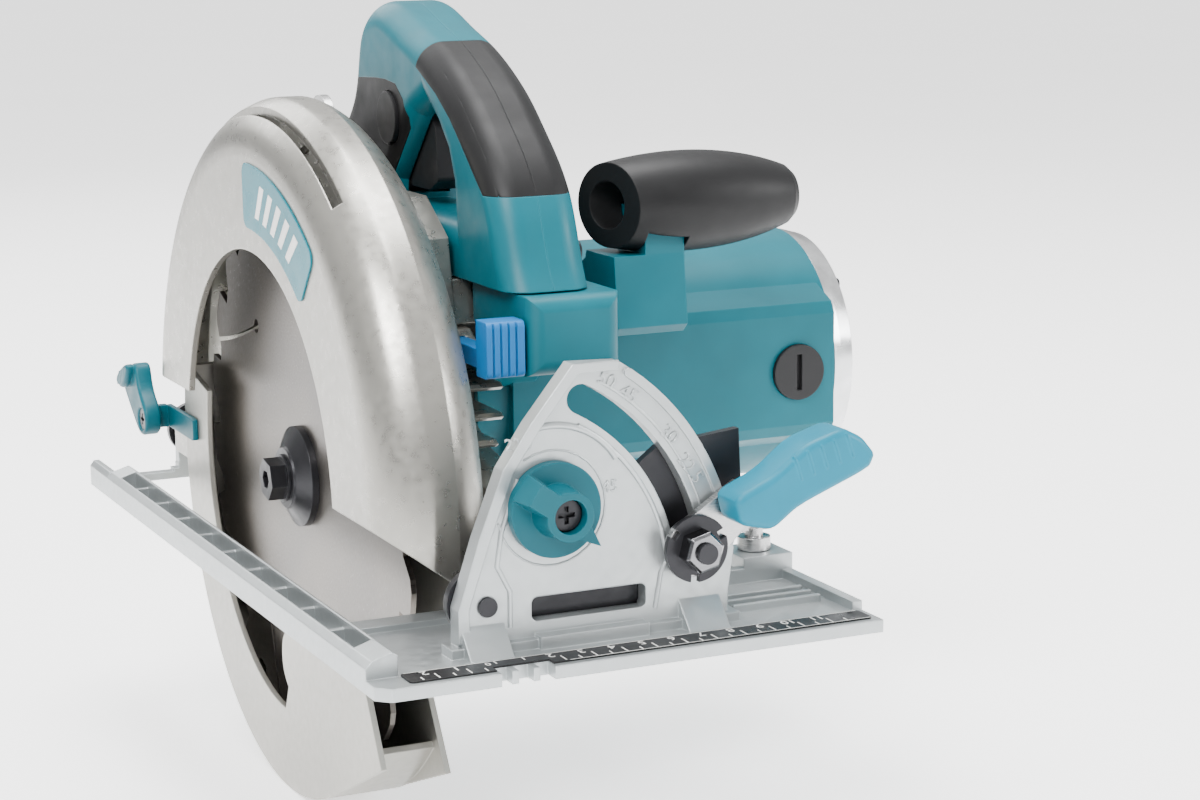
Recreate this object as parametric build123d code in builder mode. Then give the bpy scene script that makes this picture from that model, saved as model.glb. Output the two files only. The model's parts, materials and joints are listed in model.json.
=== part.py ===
from build123d import *
import os
from math import atan2, cos, degrees, hypot, radians, sin

os.makedirs("parts", exist_ok=True)

# Circular saw, millimetres.  +X points from the blade to the motor, -Y is the
# cutting direction and +Z is up.  The sole of the base is z = 0, the middle of
# the blade is x = 0 and the spindle is at y = 0.

# ------------------------------------------------------------ driving sizes
RUN_GAP = 0.05                  # radial play of a turning shaft
FIT_GAP = 0.05                  # radial play of a seated piece

BLADE_RADIUS = 105.0
BLADE_THICKNESS = 1.8
TOOTH_COUNT = 24
BORE_RADIUS = 7.94
SPINDLE_Z = 27.5
FLANGE_RADIUS = 17.5

MOTOR_Y = 8.4
MOTOR_Z = 55.6
MOTOR_RADIUS = 45.7
MOTOR_WALL = 3.2
MOTOR_START = 50.0
MOTOR_END = 190.0

PINION_TEETH = 11
GEAR_TEETH = 42

BEVEL_X = 2.7                   # bevel pivot, along Y
BEVEL_Z = 18.1
BEVEL_PIN_RADIUS = 3.0
CLAMP_BOLT_RADIUS = 3.2
DEPTH_Y = -138.0                # depth pivot, along X
DEPTH_Z = 22.0
DEPTH_GUIDE_RADIUS = 223.0

SOLE_LEFT = -40.0
SOLE_RIGHT = 126.0
SOLE_FRONT = -179.0
SOLE_REAR = 143.0
STRIP_RIGHT = 62.0              # motor side of the narrow rear part
WING_REAR = -121.0
PLATE = 4.0
SLOT_LEFT = -26.0
SLOT_RIGHT = 48.0
SLOT_FRONT = -113.0
SLOT_REAR = 138.0

QUADRANT_FRONT = -157.2
QUADRANT_BACK = -151.8
QUADRANT_RIM = 82.9
ARC_SLOT_RADIUS = 67.65
ARC_SLOT_WIDTH = 9.1
CLAMP_ANGLE = 9.75
CLAMP_X = BEVEL_X + ARC_SLOT_RADIUS * cos(radians(CLAMP_ANGLE))
CLAMP_Z = BEVEL_Z + ARC_SLOT_RADIUS * sin(radians(CLAMP_ANGLE))
KNOB_X = 24.0
KNOB_Z = 46.0

GUARD_RADIUS = 131.0            # upper guard
GUARD_FACE = -18.0
GUARD_FACE_RADIUS = 112.0
GUARD_OPENING = 80.0
GUARD_WALL = 2.3
CASE_WALL_X = 20.0              # motor-side wall of the upper guard
CASE_WALL_END = 22.5
NOSE_RADIUS = 21.0

LOWER_RADIUS = 111.3            # lower guard
LOWER_FACE = -10.2
LOWER_BACK = 16.5
LOWER_WALL = 2.0
LEVER_RADIUS = 128.0            # retracting lever, from the spindle

HANDLE_LEFT = 35.0
HANDLE_RIGHT = 65.0
HANDLE_MID = 50.0
HANDLE_FOOT = 102.0

GRIP_Y = -62.0                  # front grip, along X
GRIP_Z = 123.0
GRIP_CORE_RADIUS = 8.0
COLUMN_LEFT = 85.5
COLUMN_NECK = 97.0
COLUMN_RIGHT = 111.5
BRUSH_X = 173.0


# ------------------------------------------------------------ shared shapes
def side_plane(x):
    """Plane at x that faces the motor; its own axes are Y and Z."""
    return Plane.YZ.offset(x)


def front_plane(y):
    """Plane at y that faces the front; its own axes are X and Z."""
    return Plane.XZ.offset(-y)


def block(low, high, mode=Mode.ADD):
    """A box from its lowest to its highest corner."""
    with Locations(low):
        Box(high[0] - low[0], high[1] - low[1], high[2] - low[2],
            align=(Align.MIN, Align.MIN, Align.MIN), mode=mode)


def disc_x(y, z, radius, start, end, mode=Mode.ADD):
    """A round bar along X."""
    with BuildSketch(side_plane(start)) as circle:
        with Locations((y, z)):
            Circle(radius)
    extrude(circle.sketch, amount=end - start, mode=mode)


def disc_y(x, z, radius, front, back, mode=Mode.ADD):
    """A round bar along Y."""
    with BuildSketch(front_plane(back)) as circle:
        with Locations((x, z)):
            Circle(radius)
    extrude(circle.sketch, amount=back - front, mode=mode)


def disc_z(x, y, radius, low, high, mode=Mode.ADD):
    """A round bar along Z."""
    with BuildSketch(Plane.XY.offset(low)) as circle:
        with Locations((x, y)):
            Circle(radius)
    extrude(circle.sketch, amount=high - low, mode=mode)


def ring_x(y, z, inner, outer, start, end):
    """A plain ring whose axis is X."""
    disc_x(y, z, outer, start, end)
    disc_x(y, z, inner, start, end, mode=Mode.SUBTRACT)


def side_shape(points, start, end, mode=Mode.ADD, corner=0):
    """A plate with a (Y, Z) outline between two values of X."""
    with BuildSketch(side_plane(start)) as shape:
        with BuildLine():
            Polyline(*points, close=True)
        make_face()
        if corner:
            fillet(shape.vertices(), corner)
    extrude(shape.sketch, amount=end - start, mode=mode)


def front_shape(points, front, back, mode=Mode.ADD, corner=0):
    """A plate with an (X, Z) outline between two values of Y."""
    with BuildSketch(front_plane(back)) as shape:
        with BuildLine():
            Polyline(*points, close=True)
        make_face()
        if corner:
            fillet(shape.vertices(), corner)
    extrude(shape.sketch, amount=back - front, mode=mode)


def polar(radius, angle, y=0.0, z=SPINDLE_Z):
    """(Y, Z) of a point on a circle; 0 is the rear and 90 the top."""
    return (y + radius * cos(radians(angle)), z + radius * sin(radians(angle)))


def phillips(radius, depth, plane):
    """Cuts a cross recess into a screw head."""
    with BuildSketch(plane) as cross:
        Rectangle(radius * 1.1, radius * 0.28)
        Rectangle(radius * 0.28, radius * 1.1)
    extrude(cross.sketch, amount=-depth, mode=Mode.SUBTRACT)


# ------------------------------------------------------------ base plate
clamp_arc = CenterArc((BEVEL_X, BEVEL_Z), ARC_SLOT_RADIUS, 6.5, 56)
border_arc = CenterArc((BEVEL_X, BEVEL_Z), QUADRANT_RIM - 1.4, 8, 47)
with BuildPart() as base_plate:
    with BuildSketch(Plane.XY) as sole:
        with BuildLine():
            Polyline((SOLE_LEFT, SOLE_REAR), (SOLE_LEFT, SOLE_FRONT + 4), (SOLE_LEFT + 4, SOLE_FRONT),
                     (SOLE_RIGHT, SOLE_FRONT), (SOLE_RIGHT, WING_REAR), (STRIP_RIGHT, WING_REAR),
                     (STRIP_RIGHT, SOLE_REAR), close=True)
        make_face()
        with Locations(((SLOT_LEFT + SLOT_RIGHT) / 2, (SLOT_FRONT + SLOT_REAR) / 2)):
            Rectangle(SLOT_RIGHT - SLOT_LEFT, SLOT_REAR - SLOT_FRONT, mode=Mode.SUBTRACT)
        with Locations((6.5, SOLE_FRONT)):
            Rectangle(17, 11, mode=Mode.SUBTRACT)
        with Locations((2.7, SOLE_FRONT + 3.5), (9.5, SOLE_FRONT + 3.5)):
            Rectangle(2, 5)
    extrude(amount=PLATE)
    # blade-side beam with its recessed top and ribs
    front_shape([(-40, 0), (-40, 7.5), (-38, 9.5), (-31.5, 11.5), (-30, 10.5), (-30, 0)], -168, 118)
    block((-37.6, -152, 4), (-32, 106, 14), mode=Mode.SUBTRACT)
    for rib in range(9):
        block((-38, -128 + 27 * rib, 2), (-31.6, -126 + 27 * rib, 8.6))
    front_shape([(-40, 0), (-40, 7.5), (-38.5, 9.5), (-36.5, 9.5), (-35, 4.5), (-30, 4), (-30, 0)], 118, 143)
    block((SLOT_LEFT - 1, SLOT_FRONT - 9, 0), (SLOT_RIGHT, SLOT_FRONT, 6))
    # rear bar, thin below the retracting lever, with the rear pivot ear
    block((-30, SLOT_REAR, 2.8), (-8, SOLE_REAR, 6), mode=Mode.SUBTRACT)
    block((-6, SLOT_REAR, 0), (STRIP_RIGHT, SOLE_REAR, 6))
    block((-5.8, SLOT_REAR, 4), (11.2, 142.5, BEVEL_Z))
    disc_y(BEVEL_X, BEVEL_Z, 8.5, SLOT_REAR, 142.5)
    # raised edges of the motor side and of the wing
    block((57, WING_REAR, PLATE), (STRIP_RIGHT, SOLE_REAR, 7.5))
    block((STRIP_RIGHT - 2, WING_REAR, 0), (SOLE_RIGHT, WING_REAR + 4, 9))
    block((SOLE_RIGHT - 3.5, -166, 0), (SOLE_RIGHT, WING_REAR, 7))
    for rib_y in (-152, -146, -140):
        block((88, rib_y, PLATE), (119, rib_y + 1.6, 6.5))
    # two guides for the bar of a rip fence
    block((108, WING_REAR, 0), (SOLE_RIGHT, -103, 12.5))
    block((STRIP_RIGHT, WING_REAR, 0), (74, -103, 10.5))
    block((STRIP_RIGHT - 1, -117, 4), (SOLE_RIGHT + 1, -105, 8), mode=Mode.SUBTRACT)
    disc_z(117, -111, 3 + FIT_GAP, 6, 14, mode=Mode.SUBTRACT)
    # quadrant
    with BuildSketch(front_plane(QUADRANT_BACK)) as quadrant:
        with BuildLine():
            rim_low = (BEVEL_X + QUADRANT_RIM * cos(radians(6)), BEVEL_Z + QUADRANT_RIM * sin(radians(6)))
            rim_mid = (BEVEL_X + QUADRANT_RIM * cos(radians(32)), BEVEL_Z + QUADRANT_RIM * sin(radians(32)))
            rim_top = (BEVEL_X + QUADRANT_RIM * cos(radians(58)), BEVEL_Z + QUADRANT_RIM * sin(radians(58)))
            ThreePointArc(rim_low, rim_mid, rim_top)
            Polyline(rim_top, (31, 89), (17, 72), (8, 59), (0, 39), (-7, 18), (-7, 1), (83, 1), (83, 12), rim_low)
        make_face()
        with Locations((36, 15.5)):
            RectangleRounded(38, 7.5, 2, mode=Mode.SUBTRACT)
        SlotArc(clamp_arc, ARC_SLOT_WIDTH, mode=Mode.SUBTRACT)
        with Locations((BEVEL_X, BEVEL_Z)):
            Circle(BEVEL_PIN_RADIUS + FIT_GAP, mode=Mode.SUBTRACT)
        with Locations((KNOB_X, KNOB_Z)):
            Circle(4 + RUN_GAP, mode=Mode.SUBTRACT)
    extrude(amount=QUADRANT_BACK - QUADRANT_FRONT)
    # raised border of the quadrant
    with BuildSketch(front_plane(QUADRANT_FRONT)) as border:
        with BuildLine():
            Polyline((-7, 8), (-7, 18), (0, 39), (8, 59), (17, 72), (31, 89), (46, 89), (46, 86),
                     (33, 86), (20.5, 71), (11.5, 58), (3.5, 38), (-3.5, 18), (-3.5, 8), close=True)
        make_face()
        SlotArc(border_arc, 2.8)
    extrude(amount=1.2)
    front_shape([(-10, 3), (-10, 7), (86, 7), (86, 3)], -160, QUADRANT_BACK)
    block((18, -162, 2), (54, QUADRANT_BACK, 8))
    for foot_x in (-6, 66):
        side_shape([(-166, 3), (-157, 3), (-157, 13)], foot_x, foot_x + 14)
    disc_y(BEVEL_X, BEVEL_Z, BEVEL_PIN_RADIUS + FIT_GAP, 130, 145, mode=Mode.SUBTRACT)
    block((17.5, -153.5, 11.7), (54.5, -140, 19), mode=Mode.SUBTRACT)
base_plate.part.label = "base_plate"
export_step(base_plate.part, "parts/base_plate.step")

with BuildPart() as ruler_plate:
    with BuildSketch(Plane.XY.offset(PLATE)) as strip:
        with Locations((47.2, -171.8)):
            RectangleRounded(153, 9.5, 1.5)
    extrude(amount=0.5)
    block((-2.5, -180, 3), (15.5, -173, 6), mode=Mode.SUBTRACT)
ruler_plate.part.label = "ruler_plate"
export_step(ruler_plate.part, "parts/ruler_plate.step")

with BuildPart() as bevel_pins:
    disc_y(BEVEL_X, BEVEL_Z, BEVEL_PIN_RADIUS, -158.2, -146.5)
    disc_y(BEVEL_X, BEVEL_Z, 6, -146.5, -144.5)
    disc_y(BEVEL_X, BEVEL_Z, BEVEL_PIN_RADIUS, 135.5, 149)
    disc_y(BEVEL_X, BEVEL_Z, 6.5, 149, 151.5)
bevel_pins.part.label = "bevel_pins"
export_step(bevel_pins.part, "parts/bevel_pins.step")

with BuildPart() as fence_clamp_screw:
    disc_z(117, -111, 3, 8.3, 20)
    disc_z(117, -111, 5.5, 12.8, 17)
    front_shape([(111, 19), (123, 19), (126.5, 27), (122, 29), (117, 23), (112, 29), (107.5, 27)], -112.5, -109.5)
fence_clamp_screw.part.label = "fence_clamp_screw"
export_step(fence_clamp_screw.part, "parts/fence_clamp_screw.step")

# ------------------------------------------------------------ bevel stop knob
KNOB_BACK = QUADRANT_FRONT - 0.3
with BuildPart() as stop_knob:
    disc_y(KNOB_X, KNOB_Z, 14.5, KNOB_BACK - 3.5, KNOB_BACK)
    with BuildSketch(front_plane(KNOB_BACK - 3.5)) as hub:
        with Locations((KNOB_X, KNOB_Z)):
            Circle(8.2)
        with Locations(Location((KNOB_X, KNOB_Z), 145)):
            with Locations((7.5, 0)):
                Rectangle(14, 9)
    extrude(amount=10.5, taper=4)
    with BuildSketch(front_plane(KNOB_BACK - 3.5)) as pointer:
        with BuildLine():
            Polyline((KNOB_X + 6, KNOB_Z + 2), (KNOB_X + 12.6, KNOB_Z - 11.5), (KNOB_X + 1, KNOB_Z - 7), close=True)
        make_face()
    extrude(amount=4)
    disc_y(KNOB_X, KNOB_Z, 5.2, KNOB_BACK - 15, KNOB_BACK - 8, mode=Mode.SUBTRACT)
    disc_y(KNOB_X, KNOB_Z, 4, KNOB_BACK, QUADRANT_BACK + 0.1)
    disc_y(KNOB_X, KNOB_Z, 2.2, KNOB_BACK - 9, QUADRANT_BACK + 1, mode=Mode.SUBTRACT)
stop_knob.part.label = "stop_knob"
export_step(stop_knob.part, "parts/stop_knob.step")

with BuildPart() as stop_knob_screw:
    disc_y(KNOB_X, KNOB_Z, 4.8, KNOB_BACK - 10.6, KNOB_BACK - 8)
    disc_y(KNOB_X, KNOB_Z, 2.1, KNOB_BACK - 8, QUADRANT_BACK)
    knob_face = Plane((KNOB_X, KNOB_BACK - 10.6, KNOB_Z), x_dir=(1, 0, 0), z_dir=(0, -1, 0))
    phillips(4.8, 1.6, knob_face)
stop_knob_screw.part.label = "stop_knob_screw"
export_step(stop_knob_screw.part, "parts/stop_knob_screw.step")

# ------------------------------------------------------------ bevel carrier
EAR_LEFT = 25.0
EAR_RIGHT = 46.2
EAR_THICKNESS = 3.0
BRACKET_FRONT = -151.5
BRACKET_BACK = -148.5

with BuildPart() as front_bracket:
    with BuildSketch(front_plane(BRACKET_BACK)) as plate:
        with BuildLine():
            Polyline((BEVEL_X, 7.5), (80, 12), (91, 40), (90, 63), (62, 60), (26, 33), (BEVEL_X, 28.7), close=True)
        make_face()
        with Locations((BEVEL_X, BEVEL_Z)):
            Circle(10.6)
            Circle(BEVEL_PIN_RADIUS + RUN_GAP, mode=Mode.SUBTRACT)
        with Locations((CLAMP_X, CLAMP_Z)):
            Circle(CLAMP_BOLT_RADIUS + FIT_GAP, mode=Mode.SUBTRACT)
    extrude(amount=BRACKET_BACK - BRACKET_FRONT)
    for ear in (EAR_LEFT, EAR_RIGHT):
        side_shape([(-151, 10), (-132, 10), (-128, 16), (-128, 28), (-134, 34), (-151, 34)], ear, ear + EAR_THICKNESS)
    disc_x(DEPTH_Y, DEPTH_Z, 5 + FIT_GAP, EAR_LEFT - 1, EAR_RIGHT + 5, mode=Mode.SUBTRACT)
front_bracket.part.label = "front_bracket"
export_step(front_bracket.part, "parts/front_bracket.step")

with BuildPart() as depth_pivot_pin:
    disc_x(DEPTH_Y, DEPTH_Z, 5, EAR_LEFT - 1.5, EAR_RIGHT + 6)
    disc_x(DEPTH_Y, DEPTH_Z, 7.5, EAR_RIGHT + EAR_THICKNESS, EAR_RIGHT + 6)
depth_pivot_pin.part.label = "depth_pivot_pin"
export_step(depth_pivot_pin.part, "parts/depth_pivot_pin.step")

GUIDE_LEFT = 25.5
GUIDE_RIGHT = 28.5
guide_arc = CenterArc((DEPTH_Y, DEPTH_Z), DEPTH_GUIDE_RADIUS, 0.5, 33)
guide_slot_arc = CenterArc((DEPTH_Y, DEPTH_Z), DEPTH_GUIDE_RADIUS, 1.5, 32)
with BuildPart() as depth_guide:
    with BuildSketch(side_plane(GUIDE_LEFT)) as arc_plate:
        SlotArc(guide_arc, 20)
        with BuildLine():
            Polyline((72, 9), (143.6, 9), (143.6, 26), (110, 26), (94, 40), (75, 30), close=True)
        make_face()
        SlotArc(guide_slot_arc, 8.6, mode=Mode.SUBTRACT)
        with Locations((118, 17.5), (134, 17.5)):
            Circle(2.5 + FIT_GAP, mode=Mode.SUBTRACT)
    extrude(amount=GUIDE_RIGHT - GUIDE_LEFT)
depth_guide.part.label = "depth_guide"
export_step(depth_guide.part, "parts/depth_guide.step")

with BuildPart() as rear_bracket:
    front_shape([(BEVEL_X, 8), (31.5, 8), (31.5, 28), (BEVEL_X, 28.6)], 143.8, 146.8)
    disc_y(BEVEL_X, BEVEL_Z, 10.4, 143.8, 146.8)
    block((GUIDE_RIGHT, 110, 9), (GUIDE_RIGHT + 3, 146.8, 26))
    disc_y(BEVEL_X, BEVEL_Z, BEVEL_PIN_RADIUS + RUN_GAP, 143, 147.5, mode=Mode.SUBTRACT)
    for rivet_y in (118, 134):
        disc_x(rivet_y, 17.5, 2.5 + FIT_GAP, GUIDE_RIGHT - 1, GUIDE_RIGHT + 4, mode=Mode.SUBTRACT)
rear_bracket.part.label = "rear_bracket"
export_step(rear_bracket.part, "parts/rear_bracket.step")

with BuildPart() as guide_rivets:
    for rivet_y in (118, 134):
        disc_x(rivet_y, 17.5, 2.5, GUIDE_LEFT, GUIDE_RIGHT + 3)
        disc_x(rivet_y, 17.5, 4.2, GUIDE_LEFT - 1.5, GUIDE_LEFT)
        disc_x(rivet_y, 17.5, 4.2, GUIDE_RIGHT + 3, GUIDE_RIGHT + 4.6)
guide_rivets.part.label = "guide_rivets"
export_step(guide_rivets.part, "parts/guide_rivets.step")

# ------------------------------------------------------------ bevel clamp
LEVER_BACK = QUADRANT_FRONT - 1.6
with BuildPart() as bevel_clamp_bolt:
    disc_y(CLAMP_X, CLAMP_Z, CLAMP_BOLT_RADIUS, -171.4, BRACKET_BACK)
    with BuildSketch(front_plane(BRACKET_BACK + 5)) as bolt_head:
        with Locations((CLAMP_X, CLAMP_Z)):
            RegularPolygon(7.5, 6)
    extrude(amount=5)
bevel_clamp_bolt.part.label = "bevel_clamp_bolt"
export_step(bevel_clamp_bolt.part, "parts/bevel_clamp_bolt.step")

with BuildPart() as bevel_lever_plate:
    with BuildSketch(front_plane(LEVER_BACK)) as lever_blank:
        with Locations((CLAMP_X, CLAMP_Z)):
            Circle(9)
        with BuildLine():
            Polyline((CLAMP_X - 3, CLAMP_Z + 8.4), (84, 49), (95, 42), (CLAMP_X + 6, CLAMP_Z - 6.6), close=True)
        make_face()
        with Locations((CLAMP_X, CLAMP_Z)):
            Circle(CLAMP_BOLT_RADIUS + RUN_GAP, mode=Mode.SUBTRACT)
    extrude(amount=3)
bevel_lever_plate.part.label = "bevel_lever_plate"
export_step(bevel_lever_plate.part, "parts/bevel_lever_plate.step")

with BuildPart() as bevel_washer:
    with BuildSketch(front_plane(LEVER_BACK - 3)) as washer_shape:
        with Locations((CLAMP_X, CLAMP_Z)):
            Circle(10.4)
            Circle(CLAMP_BOLT_RADIUS + RUN_GAP, mode=Mode.SUBTRACT)
            with PolarLocations(9.8, 3, start_angle=25):
                Rectangle(3.6, 2.8, mode=Mode.SUBTRACT)
    extrude(amount=2)
bevel_washer.part.label = "bevel_washer"
export_step(bevel_washer.part, "parts/bevel_washer.step")

with BuildPart() as bevel_nut:
    with BuildSketch(front_plane(LEVER_BACK - 5)) as nut_shape:
        with Locations((CLAMP_X, CLAMP_Z)):
            RegularPolygon(6.6, 6, rotation=15)
            Circle(CLAMP_BOLT_RADIUS + RUN_GAP, mode=Mode.SUBTRACT)
    extrude(amount=6)
    chamfer(bevel_nut.faces().sort_by(Axis.Y)[0].outer_wire().edges(), 0.8)
bevel_nut.part.label = "bevel_nut"
export_step(bevel_nut.part, "parts/bevel_nut.step")

with BuildPart() as bevel_lever_grip:
    with BuildSketch(front_plane(LEVER_BACK - 3)) as grip_shape:
        with BuildLine():
            Polyline((75.5, 47), (78, 38), (89, 35.5), (98, 42), (123, 51.5), (125, 56), (120, 62), (113, 65.5),
                     (100, 61.5), (89, 53), close=True)
        make_face()
        fillet(grip_shape.vertices(), 2.5)
    extrude(amount=15)
    chamfer(bevel_lever_grip.faces().sort_by(Axis.Y)[0].outer_wire().edges(), 2.2)
    for ridge in range(6):
        with BuildSketch(front_plane(LEVER_BACK - 18)) as groove:
            with Locations(Location((96 + 4.4 * ridge, 56 + 1.5 * ridge), 24)):
                Rectangle(1.1, 11)
        extrude(groove.sketch, amount=-1, mode=Mode.SUBTRACT)
bevel_lever_grip.part.label = "bevel_lever_grip"
export_step(bevel_lever_grip.part, "parts/bevel_lever_grip.step")

# ------------------------------------------------------------ upper guard and gear case
RIM_SHOULDER = 5.0
BACK_SHOULDER_RADIUS = 98.0
LEVER_SLOT_FRONT = -12.9
LEVER_SLOT_WIDTH = 3.1


def quarter_bend(depth, height):
    """Points of the quarter ellipse between the guard's flat face and its rim."""
    return [(-depth * cos(radians(15 * step)), GUARD_FACE_RADIUS + height * sin(radians(15 * step)))
            for step in range(7)]


with BuildPart() as blade_case:
    with BuildSketch(Plane.XY.offset(SPINDLE_Z)) as shell:
        with BuildLine():
            Spline(*quarter_bend(-GUARD_FACE, GUARD_RADIUS - GUARD_FACE_RADIUS), tangents=((0, 1), (1, 0)))
            Line((0, GUARD_RADIUS), (RIM_SHOULDER, GUARD_RADIUS))
            Spline((RIM_SHOULDER, GUARD_RADIUS), (13, 126), (20, 114), (CASE_WALL_END, BACK_SHOULDER_RADIUS))
            Polyline((CASE_WALL_END, BACK_SHOULDER_RADIUS), (CASE_WALL_END, NOSE_RADIUS - 4.9),
                     (CASE_WALL_X, NOSE_RADIUS - 4.9), (CASE_WALL_X, BACK_SHOULDER_RADIUS - 1))
            Spline((CASE_WALL_X, BACK_SHOULDER_RADIUS - 1), (17.6, 113), (11.5, 123.8),
                   (RIM_SHOULDER - 0.5, GUARD_RADIUS - GUARD_WALL))
            Line((RIM_SHOULDER - 0.5, GUARD_RADIUS - GUARD_WALL), (0, GUARD_RADIUS - GUARD_WALL))
            Spline(*quarter_bend(-GUARD_FACE - GUARD_WALL, GUARD_RADIUS - GUARD_FACE_RADIUS - GUARD_WALL),
                   tangents=((0, 1), (1, 0)))
            Polyline((GUARD_FACE + GUARD_WALL, GUARD_FACE_RADIUS), (GUARD_FACE + GUARD_WALL, GUARD_OPENING),
                     (GUARD_FACE, GUARD_OPENING), (GUARD_FACE, GUARD_FACE_RADIUS))
        make_face()
    revolve(axis=Axis((0, 0, SPINDLE_Z), (1, 0, 0)))
    # lower edges of the shell: the outer half ends higher than the rim
    front_shape([(-30, -120), (30, -120), (30, 17.5), (4.5, 17.5), (-18.5, 34.7), (-30, 34.7)], -140, -56,
                mode=Mode.SUBTRACT)
    block((-30, -60, -120), (-1.5, 0, 35), mode=Mode.SUBTRACT)
    block((-30, 0, -120), (-1.5, 140, 46), mode=Mode.SUBTRACT)
    side_shape([(-140, -120), (-30, -120), (-30, 1), (-42, 17.5), (-140, 17.5)], -2, 30, mode=Mode.SUBTRACT)
    side_shape([(140, -120), (30, -120), (30, 1), (48, 14), (140, 14)], -2, 30, mode=Mode.SUBTRACT)
    block((-2, -31, -120), (30, 31, 1), mode=Mode.SUBTRACT)
    side_shape([(114.5, 13), (130, 13), (131, 24), (128, 24), (114.5, 21.5)], -9, 6)
    # slot for the retracting lever
    with BuildSketch(side_plane(LEVER_SLOT_FRONT)) as lever_slot:
        with BuildLine():
            slot_in = CenterArc((0, SPINDLE_Z), 107, 0, 126)
            slot_out = CenterArc((0, SPINDLE_Z), 138, 0, 126)
            Line(slot_in @ 0, slot_out @ 0)
            Line(slot_in @ 1, slot_out @ 1)
        make_face()
    extrude(amount=LEVER_SLOT_WIDTH, mode=Mode.SUBTRACT)
    # nose that carries the spindle bearing and the lower guard
    disc_x(0, SPINDLE_Z, NOSE_RADIUS, 12.8, CASE_WALL_END)
    # gear chamber
    disc_x(0, SPINDLE_Z, 26.6, CASE_WALL_X, 46)
    disc_x(MOTOR_Y, MOTOR_Z, 42.5, CASE_WALL_X, MOTOR_START)
    # saddle below the handle, duct and cooling fins ahead of the chamber
    block((33, -38, 78), (MOTOR_START, 50, HANDLE_FOOT - 0.6))
    side_shape([(-38, 127), (-57, 115), (-62, 87), (-20, 87), (20, 100), (20, 127)], CASE_WALL_X, 32.6)
    side_shape([(-42, HANDLE_FOOT - 0.6), (-59, HANDLE_FOOT - 0.6), (-62, 87), (-20, 87)], CASE_WALL_X, 39.5)
    side_shape([(-20, 76), (-66, 76), (-71, 79), (-71, 83), (-66, 86), (-20, 86)], CASE_WALL_X, 36)
    block((26.8, -72, 77.8), (33.2, -60, 84.2), mode=Mode.SUBTRACT)
    for fin_z, fin_end in ((66, 44), (56, 44), (47, 42), (38.5, 40)):
        side_shape([(-25, fin_z), (-72, fin_z), (-74, fin_z + 1.2), (-72, fin_z + 2.4), (-25, fin_z + 2.8)],
                   CASE_WALL_X, fin_end)
    # arm to the depth pivot
    side_shape([(-138, 13), (-60, 20), (-28, 30), (-28, 60), (-60, 44), (-141, 30)], 29.2, 45)
    disc_x(DEPTH_Y, DEPTH_Z, 9, EAR_LEFT + EAR_THICKNESS + 0.3, EAR_RIGHT - 0.3)
    # hollows
    disc_x(0, SPINDLE_Z, 24.6, CASE_WALL_END, 38, mode=Mode.SUBTRACT)
    disc_x(MOTOR_Y, MOTOR_Z, 39.2, CASE_WALL_END, 46, mode=Mode.SUBTRACT)
    disc_x(MOTOR_Y, MOTOR_Z, 41, 46, MOTOR_START, mode=Mode.SUBTRACT)
    disc_x(0, SPINDLE_Z, 16 + FIT_GAP, 12, 20.5, mode=Mode.SUBTRACT)
    disc_x(0, SPINDLE_Z, 14 + FIT_GAP, 37, 45, mode=Mode.SUBTRACT)
    disc_x(0, SPINDLE_Z, 8.4, 20, 30, mode=Mode.SUBTRACT)
    block((20.5, -8, 30), (22.5, 8, 31), mode=Mode.SUBTRACT)
    disc_x(DEPTH_Y, DEPTH_Z, 5 + RUN_GAP, 20, 50, mode=Mode.SUBTRACT)
    disc_x(DEPTH_Y + DEPTH_GUIDE_RADIUS * cos(radians(2.5)), DEPTH_Z + DEPTH_GUIDE_RADIUS * sin(radians(2.5)),
           4 + FIT_GAP, 18, 24, mode=Mode.SUBTRACT)
    # round lug behind the top of the guard
    side_shape([(28, 140), (44, 132), (50, 142), (40, 150), (30, 150)], 16, 22.5, corner=3)
blade_case.part.label = "blade_case"
export_step(blade_case.part, "parts/blade_case.step")

with BuildPart() as guard_label:
    with BuildSketch(side_plane(GUARD_FACE)) as label_shape:
        with BuildLine():
            label_in = CenterArc((0, SPINDLE_Z), 88, 89, 40)
            label_out = CenterArc((0, SPINDLE_Z), 110, 89, 40)
            Line(label_in @ 0, label_out @ 0)
            Line(label_in @ 1, label_out @ 1)
        make_face()
        fillet(label_shape.vertices(), 4)
    extrude(amount=-0.6)
guard_label.part.label = "guard_label"
export_step(guard_label.part, "parts/guard_label.step")

with BuildPart() as gear_cover:
    disc_x(MOTOR_Y, MOTOR_Z, 41 - FIT_GAP, 46, 49)
    disc_x(MOTOR_Y, MOTOR_Z, 14, 46, 54)
    disc_x(MOTOR_Y, MOTOR_Z, 11 + FIT_GAP, 47.5, 55, mode=Mode.SUBTRACT)
    disc_x(MOTOR_Y, MOTOR_Z, 5.5, 45, 48, mode=Mode.SUBTRACT)
gear_cover.part.label = "gear_cover"
export_step(gear_cover.part, "parts/gear_cover.step")

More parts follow.
